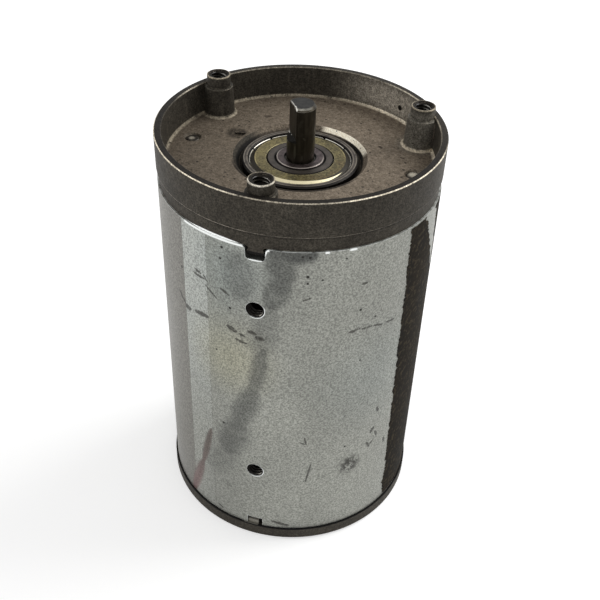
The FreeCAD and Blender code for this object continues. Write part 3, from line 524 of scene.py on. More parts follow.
def cast_bell_finish(colours):
    """Dark oxidised casting with worn edges and specks, a cup floor painted lighter as lit, and painted
    highlights and shadows along its edges, bores, gaps and recess.
    """
    f = Finish("cast_bell_skin")
    radius = f.radius()
    angle = f.angle()
    cloud = f.noise(16, 4.0, 0.6)
    blotch = f.noise(3.2, 4.0, 0.65, shift=3.0)
    mottle = f.noise(1.3, 3.0, 0.6, shift=13.0)
    grain = f.noise(0.5, 2.0, 0.6, shift=7.0)
    skin = tuple(colours.casting)
    worn_metal = tuple(colours.casting_worn)
    f.ground(cloud, shade(skin, 0.7), skin)

    inside = f.times(f.fall(radius, CUP_RADIUS - 0.1, CUP_RADIUS + 0.15), f.rise(f.z, 141.5, 142.5))
    floor_face = f.times(inside, f.fall(f.z, FLOOR_LEVEL + 0.3, FLOOR_LEVEL + 1), f.level_face(0.6, 0.9))
    # The cup's floor is painted lighter than the skin, as lit from above, and shades off towards -X: painted
    # light and shade.
    lit = f.plus(f.times(f.x, 0.8), f.times(f.y, 0.12), f.times(f.minus(cloud, 0.5), 26))
    floor_light = tuple(colours.cup_floor)
    floor_painted_light = f.mix(f.rise(lit, -56, 16), shade(floor_light, 0.56), floor_light)
    floor_painted_light = f.mix(f.times(f.rise(blotch, 0.45, 0.68), 0.4), floor_painted_light, paint(84, 75, 63))
    f.lay(floor_face, floor_painted_light)

    wall = f.times(inside, f.other(f.level_face(0.3, 0.7)))
    runs = f.noise(1.6, 3.0, 0.6, stretch=(1, 1, 6), shift=5.0)
    f.lay(wall, f.rise(runs, 0.5, 0.75), 0.4, paint(90, 84, 74))
    lit_wall = f.times(wall, f.rise(radius, 46.0, 46.2), f.between(angle, 34, 78, 16))
    f.lay(lit_wall, 0.85, paint(158, 151, 139))
    right_boss = f.spot((*at(BOSS_CIRCLE, 30), 150.0), 9, 0.2)
    f.lay(right_boss, f.fall(radius, 46.0, 46.2), f.rise(cloud, 0.1, 0.6), 0.8, paint(112, 108, 99))
    # Painted highlight down the corner where the right boss meets the cup's wall.
    corner = f.stroke((*at(46.3, 24.8), 145.0), (*at(46.3, 24.8), 154.8), 0.75)
    f.lay(corner, 0.8, paint(150, 141, 130))

    # Bare metal along the fillet at the foot of the cup's wall, with a painted highlight on its far side,
    # brightest between 4 and 72 degrees.
    fillet_wear_and_highlight = f.times(f.between(radius, 45.0, CUP_RADIUS, 0.15),
                     f.between(f.z, FLOOR_LEVEL, FLOOR_LEVEL + 0.75, 0.15), inside)
    behind = f.most(f.rise(angle, -20, 10), f.fall(angle, -175, -150))
    patchy = f.plus(blotch, f.times(f.between(angle, 0, 80, 12), 0.35))
    fillet_wear_and_highlight = f.times(fillet_wear_and_highlight, behind, f.rise(patchy, 0.28, 0.55))
    f.lay(fillet_wear_and_highlight, 0.9, f.mix(f.between(angle, 4, 72, 14), worn_metal, paint(212, 202, 182)))
    # Bare metal round the boss feet, painted brighter at the right boss as a highlight.
    feet_wear_and_highlight = f.any_of(f.between(f.distance((*at(BOSS_CIRCLE, turn), FLOOR_LEVEL)), 5.7, 6.5, 0.25)
                    for turn in BOSS_ANGLES)
    f.lay(feet_wear_and_highlight, inside, f.fall(f.z, FLOOR_LEVEL + 0.6, FLOOR_LEVEL + 1), f.rise(blotch, 0.25, 0.45), 0.85,
          f.mix(f.rise(f.x, 10, 24), worn_metal, paint(206, 194, 172)))

    lips = f.any_of(f.between(f.distance((*at(BOSS_CIRCLE, turn), BOSS_TOP + 0.1)), 3.82, 4.32, 0.08)
                    for turn in BOSS_ANGLES)
    lips = f.times(lips, f.rise(f.z, BOSS_TOP - 0.4, BOSS_TOP - 0.15), f.rise(blotch, 0.3, 0.6, 0.5, 1.0))
    # The mouths of the boss bores are painted near black: painted shade.
    bore_shade = f.any_of(f.spot((*at(BOSS_CIRCLE, turn), BOSS_TOP), 3.8, 0.02) for turn in BOSS_ANGLES)
    f.lay(bore_shade, f.rise(f.z, BOSS_TOP - 0.6, BOSS_TOP - 0.4), paint(26, 23, 20))
    # A painted highlight on the near boss's lip towards the front left; the other lips show worn metal.
    near_lip_highlight = f.times(f.fall(f.y, -44.0, -42.4), f.rise(f.x, -4.4, -3.4))
    f.lay(lips, f.mix(near_lip_highlight, shade(worn_metal, 1.15), paint(214, 208, 194)))

    worn = f.times(f.level_edges(0.3), f.rise(f.noise(2.2, 5.0, 0.75, shift=11.0), 0.42, 0.62))
    f.lay(worn, 0.7, worn_metal)
    near = f.fall(f.plus(f.y, f.times(f.x, 0.1)), -4, 12)
    land = f.times(f.rise(f.z, RIM_TOP - 0.12, RIM_TOP - 0.04), f.fall(f.z, RIM_TOP + 0.1, RIM_TOP + 0.2))
    f.lay(land, f.plus(f.times(near, 0.35), 0.5), paint(22, 19, 16))
    # Painted highlights along the rim: its outer edge on the near side and its inner edge on the far side,
    # dimmer at the front.
    far_line = f.most(f.between(angle, 14, 62, 10), f.rise(angle, 150, 170), 0.3)
    inner_line = f.times(f.between(radius, 46.4, 46.85, 0.08), f.other(near), far_line, 0.6)
    outer_line = f.times(f.between(radius, 48.7, 49.1, 0.06), near)
    dim_front = f.between(angle, -101, -60, 6)
    rim_highlight = f.times(f.between(f.z, RIM_TOP - 0.3, RIM_TOP + 0.1, 0.06), f.most(inner_line, outer_line))
    f.lay(rim_highlight, f.rise(f.noise(2.4, 5.0, 0.75, shift=2.0), 0.28, 0.46), f.other(f.times(dim_front, 0.55)),
          paint(226, 216, 196))
    # Painted highlight along the edge of the step below the rim, strongest on the left.
    step = f.times(f.between(f.z, STEP_LEVEL, STEP_LEVEL + 0.38, 0.06), f.rise(radius, 47.8, 48.1))
    step = f.times(step, f.rise(f.plus(angle, f.times(cloud, 40)), -85, -60, 1.0, 0.3),
                   f.rise(blotch, 0.25, 0.5))
    f.lay(step, 0.9, paint(162, 154, 142))
    # Painted shade just under the step.
    under_step_shade = f.times(f.between(f.z, STEP_LEVEL - 0.9, STEP_LEVEL - 0.3, 0.15), f.rise(radius, 47.8, 48.1))
    f.lay(under_step_shade, 0.35, paint(28, 25, 21))
    recess = f.times(f.between(radius, RECESS_RADIUS - 2, RECESS_RADIUS + 0.1, 0.1),
                     f.between(f.z, FLOOR_LEVEL - 2.6, FLOOR_LEVEL + 0.15, 0.1))
    # The recess's walls from -60 to 150 degrees are painted in the lit floor's tone: painted light.
    f.lay(recess, f.between(angle, -60, 150, 10), shade(floor_light, 0.8))
    # The bottom of the recess is painted near black: painted shadow.
    recess_shadow = f.fall(f.plus(radius, f.times(f.between(angle, -60, 20, 10), 0.55)), 21.7, 22.3)
    f.lay(recess, recess_shadow, f.other(f.times(f.between(angle, 60, 150, 15), 0.5)), paint(14, 12, 9))
    # A painted shadow on the floor just outside the recess, on its near side.
    near_edge_shadow = f.times(f.between(radius, RECESS_RADIUS, RECESS_RADIUS + 0.75, 0.2),
                        f.between(angle, -150, -25, 12), floor_face)
    f.lay(near_edge_shadow, 0.9, paint(18, 15, 11))

    bright = f.mix(f.rise(grain, 0.34, 0.68), (0.6, 0.6, 0.6), (1.4, 1.4, 1.4))
    f.lay(f.other(f.times(floor_face, 0.35)), bright, blend="MULTIPLY")
    bright = f.mix(f.rise(mottle, 0.34, 0.68), (0.78, 0.77, 0.76), (1.2, 1.2, 1.2))
    f.lay(1.0, bright, blend="MULTIPLY")
    lit_recess = f.times(recess, f.rise(radius, 21.75, 22.0), f.between(angle, 24, 84, 4),
                         f.rise(f.noise(1.8, 3.0, 0.6, shift=21.0), 0.28, 0.4))
    f.lay(lit_recess, f.mix(f.rise(grain, 0.3, 0.7), paint(228, 216, 192), paint(255, 250, 234)))
    pits = f.most(f.specks(2.2, 0.45, 0.34, 1.0), f.times(floor_face, f.specks(3.5, 0.5, 0.6, 9.0)),
                  f.times(floor_face, f.specks(1.4, 0.3, 0.3, 17.0)))
    f.lay(pits, 0.8, paint(26, 22, 18))
    hollow = f.spot((-25.6, 7.9, FLOOR_LEVEL), 3.6, 0.35)
    f.lay(hollow, f.rise(mottle, 0.35, 0.55), 0.85, paint(28, 24, 19))
    stains = f.any_of(f.stroke((*start, FLOOR_LEVEL), (*end, FLOOR_LEVEL), width, 1.6)
                      for start, end, width in STAINS)
    f.lay(stains, 0.8, paint(40, 32, 26))
    # Painted shadow in the gap under the can's foot.
    foot_gap_shadow = f.times(f.between(f.z, CAN_FOOT - 0.4, CAN_FOOT + 0.15, 0.05), f.rise(radius, 48.6, 48.8))
    f.lay(foot_gap_shadow, paint(10, 9, 8))
    # The can's painted edge highlight is carried up onto the bell's band above it, in white.
    reach = f.plus(CAN_TOP, f.times(f.between(angle, -116, -99, 5), 0.5))
    upper = f.rise(f.z, 130, 131)
    bell_edge_highlight = f.times(f.fall(f.minus(f.z, reach), -0.1, 0.1), f.between(angle, -122, -97, 1), upper)
    f.lay(bell_edge_highlight, (1.0, 1.0, 1.0))
    front = f.fall(f.y, TAB_FRONT - 0.5, TAB_FRONT + 0.5)
    aside = f.math("ABSOLUTE", f.x)
    # The foot tab is painted light grey, with its right side near black as a painted shadow of the gap beside
    # it.
    tab = f.times(f.fall(f.z, FOOT_TAB_TOP - 0.2, FOOT_TAB_TOP + 0.2),
                  f.rise(f.z, CAN_FOOT - 0.1, CAN_FOOT + 0.1), front, f.fall(aside, 4, 5))
    f.lay(tab, f.mix(f.rise(f.x, 1.3, 1.5), paint(140, 137, 128), paint(8, 7, 6)))
    # The lower end of the notch tab is painted near black as the shadow of a deeper gap.
    tab_end_shadow = f.fall(f.z, NOTCH_TAB_END - 0.1, NOTCH_TAB_END + 0.1)
    f.lay(tab_end_shadow, upper, front, f.fall(aside, 5, 6), 0.95, paint(12, 10, 9))

    height = f.plus(f.times(grain, 0.5), f.times(mottle, 0.6), f.times(blotch, 0.6), f.times(pits, -0.8))
    f.bump(height, 0.14, 0.7)
    rough = f.plus(0.52, f.times(blotch, 0.2), f.times(worn, -0.1))
    return f.finish(metallic=0.4, rough=rough, specular=0.15)


def can_finish(colours):
    """Dull zinc plating with clouds, scuffs and dots, bands of painted reflection, smears that are partly
    painted reflection, bright cut edges, painted highlights along its edges, and darkened holes.
    """
    f = Finish("can_plating")
    angle = f.angle()
    radius = f.radius()
    outside = f.rise(radius, CAN_RADIUS - 0.4, CAN_RADIUS - 0.15)
    cloud = f.noise(26, 3.0, 0.5, stretch=(1, 1, 1.6))
    grain = f.noise(0.62, 2.0, 0.65, shift=4.0)
    fine = f.noise(1.9, 3.0, 0.6, shift=8.0)
    plating = tuple(colours.plating)
    f.ground(cloud, shade(plating, 0.88), shade(plating, 1.06))

    # Bands of painted reflection, and tints
    blue_reflection_band = f.between(angle, -124.6, -110.9, 0.35)
    f.lay(blue_reflection_band, f.rise(f.z, 30, 120, 0.1, 0.85), paint(163, 166, 161))
    # A darker band of painted reflection beside the light one.
    beside = f.times(f.between(angle, -110.9, -100, 0.3), f.rise(f.z, 60, 110))
    f.lay(beside, 0.5, paint(131, 134, 127))
    reflection_band_edges = f.most(f.between(angle, -111.2, -110.7, 0.15), f.between(angle, -124.9, -124.5, 0.15))
    f.lay(reflection_band_edges, 0.35, paint(104, 104, 98))
    far_reflection_band = f.times(f.fall(angle, -125.0, -124.3), f.rise(angle, -170, -160))
    f.lay(far_reflection_band, 0.8, paint(108, 105, 99))
    yellow = f.spot(on_can(-101, 90), 12, 0.9)
    f.lay(yellow, 0.5, paint(160, 157, 134))
    blue = f.most(f.spot(on_can(-99, 127), 11, 0.9), f.times(f.spot(on_can(-36, 80), 18, 0.9), 0.6))
    f.lay(blue, 0.35, paint(124, 134, 134))

    # Soft dark smears, partly tarnish and partly painted reflection
    soft = f.noise(7, 2.0, 0.5, shift=15.0)
    smear_and_reflection = f.any_of(f.times(f.stroke(on_can(*start), on_can(*end), width, core=0.03), strength)
                     for start, end, width, strength in SMEARS_AND_REFLECTIONS)
    smear_and_reflection = f.times(smear_and_reflection, f.rise(soft, 0.15, 0.6, 0.55, 1.0))
    f.lay(smear_and_reflection, 0.88, paint(80, 81, 78))
    red = f.most(f.stroke(on_can(-111.9, 50), on_can(-118.5, 27), 2.3, core=0.1),
                 f.stroke(on_can(-118, 29), on_can(-127.5, 4), 3.2, core=0.1))
    f.lay(red, 0.85, f.mix(f.rise(f.z, 8, 40), paint(110, 82, 80), paint(84, 72, 66)))
    smudge = f.times(f.spot(on_can(-47.3, 38), 4.2, 0.5), f.rise(fine, 0.36, 0.56))
    f.lay(smudge, 0.95, paint(56, 55, 51))

    # Scuffs and scratches
    scuffs = f.any_of(f.stroke(on_can(*start), on_can(*end), width, ragged)
                      for start, end, width, ragged in SCUFFS)
    f.lay(scuffs, 0.85, paint(52, 50, 46))
    scratches = f.any_of(f.stroke(on_can(*start), on_can(*end), width) for start, end, width in SCRATCHES)
    f.lay(scratches, 0.8, paint(60, 59, 55))
    dots = f.any_of(f.spot(on_can(angle, level), size, 0.4) for angle, level, size in DOTS)
    dots = f.most(dots, f.times(f.specks(3.0, 0.3, 0.34, 2.0), 0.6),
                  f.times(f.specks(1.5, 0.35, 0.24, 6.0), 0.55))
    f.lay(dots, paint(38, 36, 33))

    bright = f.mix(f.rise(grain, 0.33, 0.67), (0.64, 0.64, 0.64), (1.33, 1.33, 1.33))
    f.lay(1.0, bright, blend="MULTIPLY")
    # Painted highlights along the can's top edge, on the rims of the side holes and on the notch's edges,
    # laid in the bare edge colour together with the real bare cut edges.
    glint = f.most(f.between(angle, -122.5, -94.6, 0.6), f.between(angle, -64.4, -62.8, 0.4),
                   f.between(angle, -55.2, -52.4, 0.6), f.between(angle, -86.6, -84.6, 0.4))
    edge_highlights = f.times(f.rise(f.z, CAN_TOP - 0.95, CAN_TOP - 0.6), glint)
    thin_edge_highlight = f.times(f.rise(f.z, CAN_TOP - 0.2, CAN_TOP - 0.1), f.rise(fine, 0.35, 0.6), 0.5)
    edge_highlights = f.most(edge_highlights, thin_edge_highlight)
    hole_rim_highlights = f.any_of(
        f.times(f.between(f.distance((0, -CAN_RADIUS + 0.1, level)), 3.15, 3.42, 0.06),
                f.rise(f.minus(f.x, f.minus(f.z, level)), 0.4, 2.2))
        for level in SIDE_HOLES
    )
    edge_highlights = f.most(edge_highlights, hole_rim_highlights)
    notch_highlights = f.most(f.stroke(on_can(-92.7, CAN_TOP - 4.7), on_can(-87.2, CAN_TOP - 4.7), 0.5),
                         f.stroke(on_can(-85.3, CAN_TOP - 0.2), on_can(-86.9, CAN_TOP - 3.6), 0.4))
    edge_highlights = f.most(edge_highlights, notch_highlights)
    cut = f.times(f.edges(0.35, 0.05, 0.3), outside, f.fall(f.z, CAN_TOP - 1.0, CAN_TOP - 0.7),
                  f.rise(fine, 0.25, 0.5))
    f.lay(f.most(edge_highlights, cut), tuple(colours.bare_edge))
    # The can's inner and cut faces, in the holes and the notch, are darkened: painted shade.
    inner = f.fall(radius, CAN_RADIUS - 0.6, CAN_RADIUS - 0.3)
    hole_shade = f.times(inner, f.fall(f.z, CAN_TOP - 0.2, CAN_TOP))
    f.lay(hole_shade, 0.55, paint(80, 78, 72))

    f.bump(f.plus(f.times(grain, 0.4), f.times(fine, 0.5), f.times(scratches, -1.2)), 0.06, 0.5)
    rough = f.plus(0.36, f.times(cloud, 0.16), f.times(smear_and_reflection, 0.1))
    return f.finish(metallic=0.72, rough=rough)


# Finishes of the bearings and the shaft


def shield_finish(colours):
    """Yellow passivated shield with stains, its slope, crimped rim and slits painted dark as shade, and
    painted highlights on its shoulder, near slope and far rim.
    """
    f = Finish("shield_passivation")
    radius = f.radius()
    angle = f.angle()
    stain = f.noise(2.2, 5.0, 0.65)
    fine = f.noise(0.75, 3.0, 0.75, shift=4.0)
    turned = f.noise(0.35, 2.0, 0.5, stretch=(1, 1, 9))
    base = tuple(colours.shield)
    f.ground(stain, shade(base, 0.5), shade(base, 1.25), 0.34, 0.68)
    right = f.times(f.between(angle, -70, 20, 14), f.rise(radius, 12, 13), f.rise(stain, 0.42, 0.56))
    f.lay(right, 0.65, paint(70, 55, 38))
    left = f.most(f.rise(angle, 130, 150), f.fall(angle, -150, -135))
    f.lay(left, f.rise(fine, 0.3, 0.6), 0.4, paint(142, 130, 88))
    lip = f.fall(radius, 11.8, 12.1)
    f.lay(lip, 0.6, paint(150, 140, 108))
    # Painted highlight on the shield's shoulder, on the left and from 20 to 60 degrees.
    shoulder_highlight = f.between(radius, 15.3, 15.7, 0.1)
    f.lay(shoulder_highlight, f.most(left, f.between(angle, 20, 60, 10)), 0.7, paint(186, 172, 122))
    # The slope is painted near black as shadow, with a painted highlight on its near side.
    slope = f.between(radius, 15.6, 17.14, 0.08)
    f.lay(slope, 0.95, paint(24, 20, 14))
    reach = f.times(f.minus(-12.0, angle), 0.0145)
    lit = f.minus(f.math("ABSOLUTE", f.minus(radius, 16.35)), reach)
    near = f.times(f.fall(lit, -0.1, 0.04), f.between(angle, -112, -15, 4), f.rise(fine, 0.28, 0.42))
    f.lay(slope, near, paint(214, 204, 170))
    # The rim is painted dark as shade, with painted highlights on its far side, strongest on two arcs.
    rim = f.rise(radius, 17.16, 17.24)
    far_rim_highlight = f.most(f.rise(angle, -8, 8), f.fall(angle, -158, -148))
    f.lay(rim, 0.8, paint(44, 38, 30))
    strong = f.most(f.between(angle, 42, 76, 1), f.between(angle, 141, 174, 1), 0.5)
    f.lay(rim, far_rim_highlight, strong, paint(226, 222, 212))
    # The slits are painted black as shadow.
    slit = f.times(f.rise(radius, 17.05, 17.1), f.fall(f.z, 142.99, 143.03))
    f.lay(slit, paint(10, 8, 6))
    field = f.fall(radius, 15.5, 15.65)
    f.lay(f.rise(fine, 0.52, 0.62), field, 0.75, paint(46, 40, 26))
    f.lay(f.fall(fine, 0.36, 0.46), field, 0.6, paint(150, 139, 98))
    f.bump(f.plus(f.times(fine, 0.5), f.times(turned, 0.4)), 0.04, 0.5)
    return f.finish(metallic=0.7, rough=f.plus(0.36, f.times(stain, 0.2)))


def bearing_steel_finish(colours):
    """Hardened ring steel with fine turning, gaps painted dark as oil and shade, and painted highlights on
    the chamfers and two rings.
    """
    f = Finish("bearing_ring_steel")
    radius = f.radius()
    cloud = f.noise(3.0, 4.0, 0.6)
    fine = f.noise(0.4, 3.0, 0.6, shift=5.0)
    base = tuple(colours.ring)
    f.ground(cloud, shade(base, 0.6), shade(base, 1.15))
    # Painted highlights on the chamfers and along two rings of the face.
    edge = f.level_edges(0.2, 0.08, 0.35)
    f.lay(edge, f.rise(cloud, 0.3, 0.5), 0.6, paint(170, 162, 154))
    lines = f.most(f.between(radius, 19.1, 19.32, 0.06), f.times(f.between(radius, 18.02, 18.35, 0.06), 0.8))
    f.lay(lines, f.rise(cloud, 0.3, 0.5), 0.6, paint(158, 149, 134))
    f.lay(f.specks(1.2, 0.5, 0.16), 0.7, paint(30, 25, 23))
    # The gaps between rings and shields and the ring's outer wall are painted near black: oil and painted
    # shade.
    oil_and_shade = f.most(f.between(radius, 11.0, 11.7, 0.06), f.between(radius, 8.2, 9.0, 0.06),
                  f.between(radius, 17.4, 17.95, 0.05), f.rise(radius, 19.4, 19.5))
    f.lay(oil_and_shade, 0.93, paint(14, 11, 9))
    f.bump(fine, 0.03, 0.4)
    return f.finish(metallic=0.8, rough=f.plus(0.34, f.times(fine, 0.16)))


def shaft_finish(colours):
    """Oiled ground steel: dark, with soft streaks along the shaft and bright broken edges, painted highlights
    on the chamfer, the flat and the journal's rim, and painted dark reflection and shade on the run-out and
    gaps.
    """
    f = Finish("shaft_oiled_steel")
    radius = f.radius()
    angle = f.angle()
    streak = f.noise(1.5, 3.0, 0.5, stretch=(1, 1, 14))
    cloud = f.noise(2.0, 4.0, 0.65, shift=3.0)
    fine = f.noise(0.35, 3.0, 0.6, stretch=(1, 1, 3), shift=8.0)
    base = tuple(colours.shaft)
    f.ground(streak, shade(base, 0.55), shade(base, 1.2), 0.35, 0.7)
    f.lay(f.rise(cloud, 0.48, 0.7), 0.3, paint(84, 80, 70))
    highlight_steel = paint(222, 220, 212)

    end_face = f.rise(f.z, SHAFT_TOP - 0.1, SHAFT_TOP - 0.03)
    top = f.times(end_face, f.fall(radius, 4.2, 4.5))
    # The shaft's end face is painted dark.
    dark_top_tone = f.mix(f.rise(cloud, 0.35, 0.65), paint(12, 12, 11), paint(40, 39, 36))
    f.lay(top, dark_top_tone)
    # Painted highlight on the shaft's chamfer at the front.
    front_chamfer_highlight = f.times(f.rise(f.z, SHAFT_TOP - 0.7, SHAFT_TOP - 0.6), f.other(end_face),
                      f.rise(radius, 3.6, 3.8))
    front = f.between(angle, -112, -28, 16)
    f.lay(front_chamfer_highlight, front, f.rise(fine, 0.2, 0.5), 0.85, paint(126, 124, 117))
    edge = f.times(f.level_edges(0.22, 0.08, 0.35), f.rise(cloud, 0.3, 0.55))
    f.lay(edge, 0.6, paint(150, 147, 140))

    across_flat = f.vector_math("DOT_PRODUCT", f.place, (*at(1, FLAT_ANGLE), 0))
    # The flat's run-out is painted near black, as a painted dark reflection.
    runout_dark_reflection = f.times(f.between(f.z, 151.25, 152.52, 0.05), f.rise(across_flat, 2.85, 3.0))
    f.lay(runout_dark_reflection, 0.92, paint(12, 11, 10))
    # Painted highlights on the shaft's flat.
    flat_highlights = []
    for start, end, width, strength in FLAT_HIGHLIGHTS:
        ends = [(*Vector(at(FLAT_DEPTH, FLAT_ANGLE)) + across * Vector(at(1, FLAT_ANGLE + 90)), level)
                for across, level in (start, end)]
        flat_highlights.append(f.times(f.stroke(*ends, width), strength))
    f.lay(f.most(*flat_highlights), highlight_steel)
    soft = f.any_of(
        f.times(f.stroke(on_can(*start, SHAFT_RADIUS), on_can(*end, SHAFT_RADIUS), width), strength)
        for start, end, width, strength in SHAFT_SMEARS
    )
    f.lay(soft, 0.6, paint(96, 94, 84))

    journal = f.times(f.between(radius, 4.9, 8.6, 0.1), f.between(f.z, 143.6, 144.4, 0.1))
    face = f.mix(f.rise(cloud, 0.3, 0.7), paint(52, 45, 45), paint(92, 82, 82))
    # A painted highlight on the journal's rim, on its near side.
    rim = f.times(f.between(radius, 7.75, 8.12, 0.08), f.rise(cloud, 0.25, 0.45, 0.35, 1.0),
                  f.fall(f.y, -1, 5), 0.8)
    face = f.mix(rim, face, paint(168, 160, 152))
    # The gaps inside and outside the journal are painted near black as shade.
    face = f.mix(f.most(f.rise(radius, 8.15, 8.25), f.fall(radius, 5.5, 5.7)), face, paint(14, 12, 10))
    f.lay(journal, face)
    f.bump(f.plus(fine, f.times(streak, 0.5)), 0.03, 0.45)
    return f.finish(metallic=f.times(f.other(runout_dark_reflection), 0.85), specular=0.1,
                    rough=f.plus(0.3, f.times(cloud, 0.16), f.times(runout_dark_reflection, 0.4)))


def film_finish(colours):
    """Dark brown film residue with a matt, mottled skin."""
    f = Finish("torn_film")
    cloud = f.noise(9, 4.0, 0.6, stretch=(1, 1, 1.8))
    blotch = f.noise(1.6, 4.0, 0.65, shift=4.0)
    fine = f.noise(0.5, 2.0, 0.6, shift=9.0)
    base = tuple(colours.film)
    f.ground(cloud, shade(base, 0.6), shade(base, 1.4), 0.32, 0.68)
    f.lay(f.rise(blotch, 0.48, 0.66), 0.6, paint(72, 64, 50))
    f.lay(f.rise(fine, 0.54, 0.66), 0.65, paint(14, 12, 9))
    edge = f.times(f.edges(0.2, 0.1, 0.4), f.rise(blotch, 0.4, 0.6))
    f.lay(edge, 0.5, paint(120, 112, 100))
    f.bump(f.plus(f.times(blotch, 0.8), f.times(fine, 0.4)), 0.08, 0.7)
    return f.finish(rough=f.plus(0.7, f.times(cloud, 0.2)), specular=0.08)


# Finishes of the fasteners, the threads and the parts inside


def steel_finish(name, light, dark, rough, size, wear=0.6):
    """Plain worn steel or plating between two tones."""
    f = Finish(name)
    cloud = f.noise(size, 4.0, 0.6)
    fine = f.noise(size * 0.2, 3.0, 0.6, shift=6.0)
    f.ground(cloud, dark, light)
    if wear:
        f.lay(f.edges(0.25, 0.05, 0.35), wear, shade(light, 1.35))
    f.bump(fine, 0.03, 0.4)
    return f.finish(metallic=0.9, rough=f.plus(rough, f.times(fine, 0.14)))


def bolt_finish():
    """Plated bolts whose upper ends are darker, with painted highlights on their ends."""
    f = Finish("bolt_plating")
    cloud = f.noise(1.6, 4.0, 0.6)
    fine = f.noise(0.4, 3.0, 0.6, shift=6.0)
    f.ground(cloud, paint(118, 112, 96), paint(186, 180, 160))
    end = f.rise(f.z, 143.4, 143.8)
    f.lay(end, f.mix(f.rise(cloud, 0.3, 0.7), paint(34, 30, 26), paint(66, 60, 52)))
    # Painted highlights on the middle of each bolt end.
    left = f.times(f.spot((-39.5, -0.2, 144.3), 1.0, 0.4), 0.6)
    right = f.spot((39.0, 0.5, 144.3), 1.5, 0.5)
    f.lay(f.most(left, right), f.rise(fine, 0.3, 0.5), paint(214, 206, 188))
    f.bump(fine, 0.04, 0.5)
    return f.finish(metallic=0.7, rough=f.plus(0.36, f.times(fine, 0.14)))


def dull_finish(name, light, dark, rough, size):
    """Plain moulded, pressed or sintered material between two tones."""
    f = Finish(name)
    cloud = f.noise(size, 4.0, 0.6)
    fine = f.noise(size * 0.16, 3.0, 0.65, shift=6.0)
    f.ground(cloud, dark, light)
    f.lay(f.rise(fine, 0.58, 0.7), 0.4, shade(dark, 0.6))
    f.bump(fine, 0.05, 0.6)
    return f.finish(rough=f.plus(rough, f.times(cloud, 0.15)))


def lamination_finish():
    """Stacked sheets: thin dark lines between the levels."""
    f = Finish("core_laminations")
    cloud = f.noise(5, 4.0, 0.6)
    wave = f.math("FRACT", f.math("DIVIDE", f.z, 0.65))
    seam = f.times(f.rise(wave, 0.0, 0.12), f.fall(wave, 0.88, 1.0))
    f.ground(cloud, paint(62, 60, 60), paint(104, 101, 98))
    f.lay(f.other(seam), 0.7, paint(24, 22, 22))
    f.bump(seam, 0.06, 0.6)
    return f.finish(metallic=0.8, rough=f.plus(0.4, f.times(cloud, 0.15)))


def thread_finishes(name, flank, crest):
    """Dark finish for a thread's flanks, and one for its crests, which are painted bright as highlights on
    the +X side.
    """
    f = Finish(name + "_crest")
    cloud = f.noise(0.9, 4.0, 0.6)
    # Crests on the +X side of a bore, which face -X, are painted bright as highlights.
    worn = f.times(f.fall(f.part(f.normal(), 0), -0.6, 0.3), f.rise(cloud, 0.3, 0.5, 0.6, 1.0))
    f.colour = f.mix(worn, shade(flank, 0.6), crest)
    f.bump(cloud, 0.02, 0.4)
    return (steel_finish(name + "_flank", flank, shade(flank, 0.4), 0.4, 1.2, 0.0),
            f.finish(metallic=0.25, rough=f.plus(0.3, f.times(cloud, 0.15))))


def winding_finish():
    """Enamelled copper wires laid side by side."""
    f = Finish("enamelled_copper")
    wave = f.node("ShaderNodeTexWave", bands_direction="DIAGONAL")
    f.fill(wave, Vector=f.place, Scale=0.42, Distortion=1.6, Detail=1.0)
    tint = f.noise(3, 3.0, 0.5)
    f.ground(tint, paint(120, 58, 30), paint(172, 92, 48))
    f.lay(f.fall(wave.outputs["Fac"], 0.0, 0.35), 0.8, paint(48, 22, 14))
    f.bump(wave.outputs["Fac"], 0.25, 0.8)
    return f.finish(metallic=0.6, rough=f.plus(0.26, f.times(tint, 0.12)))


def commutator_finish():
    """Copper bars with a brown brush track and fine turning."""
    f = Finish("commutator_bars")
    cloud = f.noise(4, 3.0, 0.6)
    turned = f.noise(0.3, 2.0, 0.5, stretch=(20, 20, 1))
    track = f.rise(f.noise(6, 2.0, 0.5, stretch=(6, 6, 1), shift=3.0), 0.4, 0.6)
    f.ground(cloud, paint(150, 86, 58), paint(196, 122, 84))
    f.lay(track, 0.5, paint(86, 52, 38))
    f.bump(turned, 0.03, 0.5)
    return f.finish(metallic=0.95, rough=f.plus(0.26, f.times(turned, 0.16)))


# Shapes


def join_shape(shape, name, body, material, smooth_under=35):
    """Turn a shape in mm into an object, which rides on a body if one is given."""
    bmesh.ops.remove_doubles(shape, verts=shape.verts, dist=0.0005)
    bmesh.ops.recalc_face_normals(shape, faces=shape.faces)
    bmesh.ops.scale(shape, vec=(MM, MM, MM), verts=shape.verts)
    mesh = bpy.data.meshes.new(name)
    shape.to_mesh(mesh)
    shape.free()
    mesh.shade_smooth()
    mesh.set_sharp_from_angle(angle=math.radians(smooth_under))
    mesh.materials.append(material)
    piece = bpy.data.objects.new(name, mesh)
    bpy.context.scene.collection.objects.link(piece)
    if body:
        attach(piece, body)
    return piece


def rotation(angle, axis="Z", size=3):
    """Turn about an axis, in degrees."""
    return Matrix.Rotation(math.radians(angle), size, axis)


def turn_shape(shape, angle, axis="Z"):
    """Turn a shape about one of the frame's axes."""
    bmesh.ops.rotate(shape, cent=(0, 0, 0), matrix=rotation(angle, axis), verts=shape.verts)


def outline(shape, points, closed=True):
    """Edges through points given as (radius, level)."""
    corners = [shape.verts.new((radius, 0, level)) for radius, level in points]
    pairs = list(zip(corners, corners[1:]))
    if closed:
        pairs.append((corners[-1], corners[0]))
    return corners + [shape.edges.new(pair) for pair in pairs]


